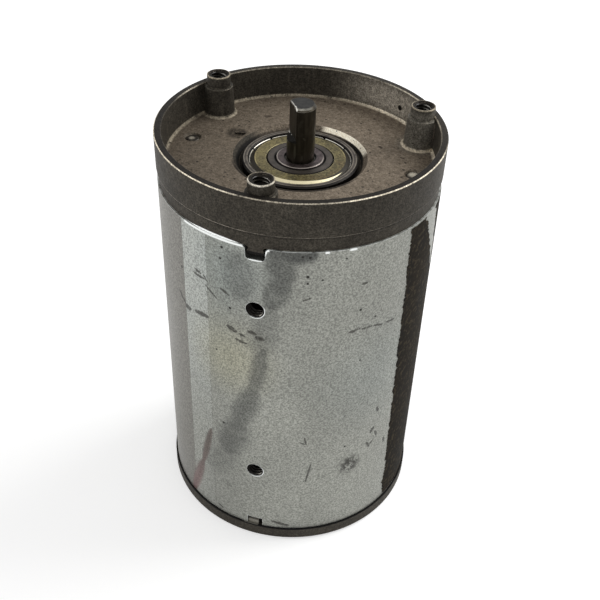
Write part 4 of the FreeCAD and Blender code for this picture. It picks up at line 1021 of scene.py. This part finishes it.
def push_rim(shape, edges, radius, level):
    """Grow a ring of open edges out to a radius and a level."""
    grown = bmesh.ops.extrude_edge_only(shape, edges=edges)["geom"]
    for corner in (part for part in grown if isinstance(part, bmesh.types.BMVert)):
        corner.co.xy = corner.co.xy.normalized() * radius
        corner.co.z = level
    return [part for part in grown if isinstance(part, bmesh.types.BMEdge) and part.is_boundary]


def threaded_sleeve(sizes, low, high, collar=()):
    """Closed sleeve with a helical thread inside and level ends, and with a collar on top if one is given."""
    shape = bmesh.new()
    # Corners of one turn: radius, and height as a share of the pitch
    thread = ((sizes.root, 0), (sizes.root, 0.125), (sizes.crest, 0.4375), (sizes.crest, 0.6875))
    points = []
    level = low - sizes.pitch
    while level < high + sizes.pitch:
        points += [(radius, level + sizes.pitch * share) for radius, share in thread]
        level += sizes.pitch
    points.append((sizes.root, level))
    bmesh.ops.spin(shape, geom=outline(shape, points, closed=False), cent=(0, 0, 0), axis=(0, 0, 1),
                   dvec=(0, 0, sizes.pitch / sizes.steps), angle=math.tau, steps=sizes.steps, use_merge=False)
    bmesh.ops.remove_doubles(shape, verts=shape.verts, dist=0.002)
    for end, side in ((low, -1), (high, 1)):
        everything = shape.verts[:] + shape.edges[:] + shape.faces[:]
        bmesh.ops.bisect_plane(shape, geom=everything, plane_co=(0, 0, end), plane_no=(0, 0, side),
                               clear_outer=True)
    rims = []
    for end, steps in ((low, [(sizes.sleeve, low)]), (high, [(sizes.sleeve, high), *collar])):
        open_edges = [edge for edge in shape.edges if edge.is_boundary
                      and all(abs(corner.co.z - end) < 0.01 for corner in edge.verts)]
        for radius, level in steps:
            open_edges = push_rim(shape, open_edges, radius, level)
        rims += open_edges
    bmesh.ops.bridge_loops(shape, edges=rims)
    for face in shape.faces:
        centre = face.calc_center_median()
        if centre.xy.length < sizes.crest + 0.12:
            face.material_index = 1
        elif centre.xy.length > sizes.sleeve + 0.02:
            face.material_index = 2
    return shape


def crimped_shield(sizes):
    """Turned shield with a slit rim that is crimped into the ring's groove."""
    shape = bmesh.new()
    bmesh.ops.spin(shape, geom=outline(shape, SHIELD_PROFILE), cent=(0, 0, 0), axis=(0, 0, 1), angle=math.tau,
                   steps=sizes.steps, use_merge=True)
    step = math.tau / sizes.steps
    rim_inside, rim_foot, slit_floor = 17.1, 143.0, 142.96
    for slit in range(sizes.slits):
        centre = round((sizes.slit_angle + slit * math.tau / sizes.slits) / step) * step
        for corner in shape.verts:
            turn = math.atan2(corner.co.y, corner.co.x) - centre
            turn = (turn + math.pi) % math.tau - math.pi
            on_rim = corner.co.xy.length > rim_inside and corner.co.z > rim_foot
            if on_rim and -0.5 * step < turn < 2.5 * step:
                corner.co.z = slit_floor
    return shape


def coil_spring(sizes, level):
    """Helical spring with closed ends, from a brush's back to its holder's end wall along X."""
    shape = bmesh.new()
    gap = 0.05
    steps = 20
    first = sizes.back + sizes.wire + gap
    closed = sizes.wire * 2 + gap
    opened = (sizes.wall - sizes.wire - gap - first - closed * 2) / sizes.turns
    place = Matrix.Translation((first, 0, level + sizes.coil)) @ rotation(90, "X", 4)
    bmesh.ops.create_circle(shape, segments=10, radius=sizes.wire, matrix=place)
    section = shape.verts[:] + shape.edges[:]
    for turns, pitch in ((1, closed), (sizes.turns, opened), (1, closed)):
        spun = bmesh.ops.spin(shape, geom=section, cent=(0, 0, level), axis=(1, 0, 0), angle=math.tau * turns,
                              dvec=(pitch / steps, 0, 0), steps=steps * turns, use_merge=False)
        section = spun["geom_last"]
    bmesh.ops.holes_fill(shape, edges=shape.edges, sides=0)
    return shape


def copper_lead(sizes, low, high):
    """Lead that rises from a brush, bends over beside it and falls to its rivet along Y."""
    shape = bmesh.new()
    top = high + sizes.rise
    place = Matrix.Translation((sizes.leave, 0, high))
    bmesh.ops.create_circle(shape, segments=14, radius=sizes.lead, matrix=place)
    section = shape.verts[:] + shape.edges[:]
    steps = 10
    # Each part of the route: centre and degrees of its bend, and its straight run
    runs = [
        ((0, 0, 0), 0, (0, 0, sizes.rise)),
        ((0, sizes.bend, top), 90, (0, 0, 0)),
        ((0, 0, 0), 0, (0, sizes.shift - sizes.bend * 2, 0)),
        ((0, sizes.shift - sizes.bend, top), 90, (0, 0, 0)),
        ((0, 0, 0), 0, (0, 0, low - top)),
    ]
    for centre, angle, run in runs:
        spun = bmesh.ops.spin(shape, geom=section, cent=centre, axis=(-1, 0, 0), angle=math.radians(angle),
                              dvec=Vector(run) / steps, steps=steps, use_merge=False)
        section = spun["geom_last"]
    bmesh.ops.holes_fill(shape, edges=shape.edges, sides=0)
    return shape


def torn_strip(shape, left, right, columns, foot, top):
    """Part of the film between two edges that are given as functions of level."""
    rows = 200
    made = bmesh.ops.create_grid(shape, x_segments=columns, y_segments=rows, size=1.0)
    for corner in made["verts"]:
        across = (corner.co.x + 1) / 2
        level = foot + (top - foot) * (corner.co.y + 1) / 2
        turn = left(level) * (1 - across) + right(level) * across
        if corner.co.y < -0.999:
            level += 0.5 * fractal.noise((turn * 30, 2.0, 5.0))
        if corner.co.y > 0.999:
            level -= 0.6 * abs(fractal.noise((turn * 34, 7.0, 1.0)))
        corner.co = Vector(on_can(math.degrees(turn), level, CAN_RADIUS + 0.01))


def torn_film(sizes):
    """The remnant of the film: a ragged edge, and a tear that runs down from the top."""
    margin = 0.7
    top = CAN_TOP - margin
    foot = CAN_FOOT + margin
    tear_angle, tear_lean, tear_opening = (math.radians(angle) for angle in (1.5, 17.5, 11))

    def jag(level, seed, reach):
        coarse = fractal.noise((level * 0.11, seed, 0.0)) + 0.6 * fractal.noise((level * 0.45, seed, 3.0))
        return reach * (coarse + 0.9 * fractal.noise((level * 1.3, seed, 6.0)))

    def edge(level):
        share = (level - foot) / (top - foot)
        return sizes.edge_foot + (sizes.edge_top - sizes.edge_foot) * share + jag(level, 1.0, 0.024)

    def tear_left(level):
        share = max(0.0, (level - sizes.tear_tip) / (top - sizes.tear_tip))
        return tear_angle - tear_lean * share + jag(level, 4.0, 0.035) * min(1.0, share * 5)

    def tear_right(level):
        share = max(0.0, (level - sizes.tear_tip) / (top - sizes.tear_tip))
        gap = tear_opening * share ** 0.6 + jag(level, 8.0, 0.02) * share
        return tear_left(level) + max(0.0, gap)

    shape = bmesh.new()
    torn_strip(shape, edge, tear_left, 12, foot, top)
    torn_strip(shape, tear_right, lambda level: sizes.far_edge, 30, foot, top)
    bmesh.ops.remove_doubles(shape, verts=shape.verts, dist=0.004)
    bmesh.ops.recalc_face_normals(shape, faces=shape.faces)
    outward = sum(face.normal.dot(face.calc_center_median() * Vector((1, 1, 0))) for face in shape.faces)
    if outward < 0:
        bmesh.ops.reverse_faces(shape, faces=shape.faces)
    bmesh.ops.solidify(shape, geom=shape.faces[:], thickness=-sizes.thickness)
    return shape


# Finishes laid on the CAD nodes


def coat(slot, material):
    """Give every node of a material slot its finish."""
    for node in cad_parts.values():
        for place in node.material_slots:
            if place.material and place.material.name.split(".")[0] == slot:
                place.material = material


def repaint(names, material):
    """Give some nodes a finish of their own."""
    for name in names:
        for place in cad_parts[name].material_slots:
            place.material = material


# Operators


class MOTOR_OT_end_bells(Operator):
    """Finish the cast end bells"""

    bl_idname = "motor.end_bells"
    bl_label = "End Bells"

    def execute(self, context):
        coat("cast_bell", cast_bell_finish(context.scene.motor_colours))
        return {"FINISHED"}


class MOTOR_OT_boss_threads(Operator):
    """Cut the threads of the three bosses"""

    bl_idname = "motor.boss_threads"
    bl_label = "Boss Threads"

    def execute(self, context):
        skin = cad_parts["front_end_bell"].material_slots[0].material
        # The flanks are darkened as painted shade inside the bores, and the crests carry painted highlights.
        flank, crest = thread_finishes("boss_thread", paint(36, 33, 29), paint(250, 246, 236))
        for index, angle in enumerate(BOSS_ANGLES):
            shape = threaded_sleeve(context.scene.motor_threads, *BOSS_THREAD, BOSS_COLLAR)
            bmesh.ops.translate(shape, vec=(*at(BOSS_CIRCLE, angle), 0), verts=shape.verts)
            piece = join_shape(shape, f"boss_thread_{index + 1}", "housing", flank)
            piece.data.materials.append(crest)
            piece.data.materials.append(skin)
        return {"FINISHED"}


class MOTOR_OT_yoke_can(Operator):
    """Finish the can and cut the threads of its two side holes"""

    bl_idname = "motor.yoke_can"
    bl_label = "Yoke Can"

    def execute(self, context):
        coat("zinc_steel", can_finish(context.scene.motor_colours))
        # The flanks are darkened as painted shade inside the holes, and the crests carry painted highlights.
        flank, crest = thread_finishes("side_thread", paint(24, 22, 20), paint(170, 166, 156))
        for index, level in enumerate(SIDE_HOLES):
            shape = threaded_sleeve(context.scene.motor_threads, *SIDE_THREAD)
            turn_shape(shape, 90, "X")
            bmesh.ops.translate(shape, vec=(0, 0, level), verts=shape.verts)
            piece = join_shape(shape, f"side_thread_{index + 1}", "housing", flank)
            piece.data.materials.append(crest)
        return {"FINISHED"}


class MOTOR_OT_film(Operator):
    """Lay the torn film on the can"""

    bl_idname = "motor.film"
    bl_label = "Torn Film"

    def execute(self, context):
        shape = torn_film(context.scene.motor_film)
        film = join_shape(shape, "torn_film_remnant", "housing",
                          film_finish(context.scene.motor_colours), 50)
        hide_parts("label_remnant")
        return {"FINISHED"}


class MOTOR_OT_bearings(Operator):
    """Finish the bearings and press in the slit front shield"""

    bl_idname = "motor.bearings"
    bl_label = "Bearings"

    def execute(self, context):
        colours = context.scene.motor_colours
        passivation = shield_finish(colours)
        coat("bearing_shield", passivation)
        coat("bearing_steel", bearing_steel_finish(colours))
        shield = join_shape(crimped_shield(context.scene.motor_shield), "slit_front_shield", "housing",
                            passivation)
        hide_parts("front_bearing_outer_shield")
        polished = steel_finish("ball_steel", paint(206, 206, 206), paint(176, 176, 178), 0.12, 3)
        repaint(("front_bearing_balls", "rear_bearing_balls"), polished)
        return {"FINISHED"}


class MOTOR_OT_shaft(Operator):
    """Finish the shaft"""

    bl_idname = "motor.shaft"
    bl_label = "Shaft"

    def execute(self, context):
        coat("shaft_steel", shaft_finish(context.scene.motor_colours))
        return {"FINISHED"}


class MOTOR_OT_armature(Operator):
    """Finish the core, its insulation and the windings"""

    bl_idname = "motor.armature"
    bl_label = "Armature"

    def execute(self, context):
        coat("lamination_steel", lamination_finish())
        coat("insulation", dull_finish("slot_insulation", paint(70, 104, 84), paint(44, 74, 60), 0.5, 6))
        coat("copper_winding", winding_finish())
        return {"FINISHED"}


class MOTOR_OT_commutator(Operator):
    """Finish the commutator and the moulded parts"""

    bl_idname = "motor.commutator"
    bl_label = "Commutator"

    def execute(self, context):
        coat("commutator_copper", commutator_finish())
        coat("moulding", dull_finish("phenolic_moulding", paint(58, 38, 28), paint(34, 22, 18), 0.4, 5))
        return {"FINISHED"}


class MOTOR_OT_brush_gear(Operator):
    """Finish the brushes and their holders, wind the springs and lay the leads"""

    bl_idname = "motor.brush_gear"
    bl_label = "Brush Gear"

    def execute(self, context):
        coat("carbon", dull_finish("brush_carbon", paint(52, 51, 52), paint(28, 27, 29), 0.42, 1.2))
        brass = steel_finish("holder_brass", paint(190, 156, 92), paint(146, 114, 62), 0.26, 4)
        coat("brass_hardware", brass)
        wire = steel_finish("spring_wire", paint(150, 148, 146), paint(104, 102, 102), 0.24, 2)
        coat("spring_steel", wire)
        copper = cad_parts["brush_lead_1"].material_slots[0].material
        sizes = context.scene.motor_brush_gear
        plate_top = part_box("brush_plate")[1][2] / MM
        for index, angle in enumerate(BRUSH_ANGLES):
            number = index + 1
            low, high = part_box(f"brush_{number}")
            shape = coil_spring(sizes, (low[2] + high[2]) / 2 / MM)
            turn_shape(shape, angle)
            spring = join_shape(shape, f"brush_coil_{number}", "housing", wire, 60)
            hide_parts(f"brush_spring_{number}")
            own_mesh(spring)
            shape = copper_lead(sizes, plate_top + sizes.rivet, high[2] / MM)
            turn_shape(shape, angle)
            lead = join_shape(shape, f"brush_flex_{number}", None, copper, 60)
            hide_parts(f"brush_lead_{number}")
            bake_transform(lead)
        return {"FINISHED"}


class MOTOR_OT_magnets(Operator):
    """Finish the ferrite magnets"""

    bl_idname = "motor.magnets"
    bl_label = "Magnets"

    def execute(self, context):
        coat("ferrite", dull_finish("ferrite_magnet", paint(58, 57, 60), paint(34, 33, 36), 0.55, 4))
        return {"FINISHED"}


class MOTOR_OT_fasteners(Operator):
    """Finish the bolts, washers and screws, and the lead grommet"""

    bl_idname = "motor.fasteners"
    bl_label = "Fasteners and Grommet"

    def execute(self, context):
        plating = steel_finish("fastener_plating", paint(214, 206, 182), paint(132, 124, 104), 0.26, 1.6)
        coat("fastener_zinc", plating)
        repaint(("through_bolts",), bolt_finish())
        rubber = dull_finish("grommet_rubber_skin", paint(40, 39, 39), paint(22, 21, 21), 0.6, 2)
        coat("grommet_rubber", rubber)
        return {"FINISHED"}


# Stage


def lamp(name, place, target, size, power):
    """A square soft lamp that looks at a point."""
    data = bpy.data.lights.new(name, "AREA")
    data.shape = "SQUARE"
    data.size = size
    data.energy = power
    made = bpy.data.objects.new(name, data)
    made.location = place
    made.rotation_euler = (Vector(target) - Vector(place)).to_track_quat("-Z", "Y").to_euler()
    bpy.context.scene.collection.objects.link(made)


def bare_nodes(owner):
    """Emptied node tree of a material or a world."""
    owner.use_nodes = True
    owner.node_tree.nodes.clear()
    return Nodes(owner.node_tree)


def white_to_rays(nodes, plain, white):
    """Shader that is white to the camera, to gloss and through glass, and plain otherwise."""
    rays = nodes.node("ShaderNodeLightPath").outputs
    seen = nodes.math("MAXIMUM", rays["Is Camera Ray"], rays["Is Glossy Ray"])
    seen = nodes.math("MAXIMUM", seen, rays["Is Transmission Ray"])
    mixed = nodes.node("ShaderNodeMixShader")
    nodes.feed_all(mixed, seen, plain, white)
    return mixed.outputs[0]


class MOTOR_OT_stage(Operator):
    """Set up the floor, the world, the lamps and the camera"""

    bl_idname = "motor.stage"
    bl_label = "Stage"

    def execute(self, context):
        settings = context.scene.motor_stage
        self.floor()
        self.world(context, settings)
        middle = (0, 0, 0.08)
        lamp("key_lamp", (0.55, 0.45, 0.75), middle, 0.6, settings.key)
        lamp("left_lamp", (-0.7, -0.35, 0.45), middle, 0.5, settings.fill)
        lamp("front_lamp", (0.25, -0.9, 0.5), middle, 0.5, settings.fill)
        self.camera(context, settings)
        context.scene.view_settings.view_transform = "Standard"
        return {"FINISHED"}

    def floor(self):
        """A wide pale floor that keeps the motor's shadow."""
        shape = bmesh.new()
        bmesh.ops.create_circle(shape, cap_ends=True, segments=96, radius=4.0)
        bmesh.ops.translate(shape, vec=(0, 0, -0.0001), verts=shape.verts)
        mesh = bpy.data.meshes.new("stage_floor")
        shape.to_mesh(mesh)
        shape.free()
        ground = bpy.data.objects.new("stage_floor", mesh)
        bpy.context.scene.collection.objects.link(ground)
        material = bpy.data.materials.new("stage_floor_paint")
        nodes = bare_nodes(material)
        matt = nodes.node("ShaderNodeBsdfDiffuse")
        nodes.fill(matt, Color=(0.8, 0.8, 0.8))
        glow = nodes.node("ShaderNodeEmission")
        distance = nodes.vector_math("LENGTH", nodes.node("ShaderNodeTexCoord").outputs["Object"])
        spread = nodes.node("ShaderNodeMapRange")
        nodes.feed_all(spread, distance, 0.25, 1.3, 0.42, 0.74)
        nodes.fill(glow, Strength=spread.outputs[0])
        both = nodes.node("ShaderNodeAddShader")
        nodes.feed_all(both, matt.outputs[0], glow.outputs[0])
        out = nodes.node("ShaderNodeOutputMaterial")
        nodes.fill(out, Surface=white_to_rays(nodes, matt.outputs[0], both.outputs[0]))
        mesh.materials.append(material)

    def world(self, context, settings):
        """A white surround, dimmer as a light."""
        world = bpy.data.worlds.new("white_surround")
        nodes = bare_nodes(world)
        plain = nodes.node("ShaderNodeBackground")
        nodes.fill(plain, Color=(1, 1, 1), Strength=settings.sky)
        white = nodes.node("ShaderNodeBackground")
        nodes.fill(white, Color=(1, 1, 1), Strength=1.0)
        out = nodes.node("ShaderNodeOutputWorld")
        nodes.fill(out, Surface=white_to_rays(nodes, plain.outputs[0], white.outputs[0]))
        context.scene.world = world

    def camera(self, context, settings):
        """A camera at the fitted place and angle."""
        data = bpy.data.cameras.new("motor_camera")
        data.sensor_width = 36
        data.lens = settings.focal_length
        data.clip_start = 0.01
        data.clip_end = 20
        made = bpy.data.objects.new("motor_camera", data)
        heading = Matrix.Rotation(settings.heading, 4, "Z")
        tilt = Matrix.Rotation(math.radians(90) - settings.pitch, 4, "X")
        roll = Matrix.Rotation(settings.roll, 4, "Z")
        made.matrix_world = Matrix.Translation(settings.station) @ heading @ tilt @ roll
        context.scene.collection.objects.link(made)
        context.scene.camera = made


class MOTOR_PT_panel(Panel):
    """Lists the motor's steps"""

    bl_idname = "MOTOR_PT_panel"
    bl_label = "DC Motor"
    bl_space_type = "VIEW_3D"
    bl_region_type = "UI"
    bl_category = "DC Motor"

    def draw(self, context):
        layout = self.layout
        for group in GROUPS:
            column = layout.column(align=True)
            for name in GROUPS[group].__annotations__:
                column.prop(getattr(context.scene, group), name)
        for step in STEPS:
            layout.operator(step.bl_idname)


GROUPS = {
    "motor_colours": MotorColours,
    "motor_threads": ThreadSizes,
    "motor_shield": ShieldSizes,
    "motor_film": FilmSizes,
    "motor_brush_gear": BrushGearSizes,
    "motor_stage": StageSettings,
}
STEPS = (
    MOTOR_OT_end_bells,
    MOTOR_OT_boss_threads,
    MOTOR_OT_yoke_can,
    MOTOR_OT_film,
    MOTOR_OT_bearings,
    MOTOR_OT_shaft,
    MOTOR_OT_armature,
    MOTOR_OT_commutator,
    MOTOR_OT_brush_gear,
    MOTOR_OT_magnets,
    MOTOR_OT_fasteners,
    MOTOR_OT_stage,
)


def register():
    """Register the settings, the steps and the panel."""
    for name, group in GROUPS.items():
        bpy.utils.register_class(group)
        setattr(bpy.types.Scene, name, PointerProperty(type=group))
    for step in STEPS:
        bpy.utils.register_class(step)
    bpy.utils.register_class(MOTOR_PT_panel)


def unregister():
    """Take everything back."""
    bpy.utils.unregister_class(MOTOR_PT_panel)
    for step in reversed(STEPS):
        bpy.utils.unregister_class(step)
    for name, group in GROUPS.items():
        delattr(bpy.types.Scene, name)
        bpy.utils.unregister_class(group)


def main():
    """Run every step."""
    register()
    bpy.ops.motor.end_bells()
    bpy.ops.motor.boss_threads()
    bpy.ops.motor.yoke_can()
    bpy.ops.motor.film()
    bpy.ops.motor.bearings()
    bpy.ops.motor.shaft()
    bpy.ops.motor.armature()
    bpy.ops.motor.commutator()
    bpy.ops.motor.brush_gear()
    bpy.ops.motor.magnets()
    bpy.ops.motor.fasteners()
    bpy.ops.motor.stage()


if __name__ == "__main__":
    main()
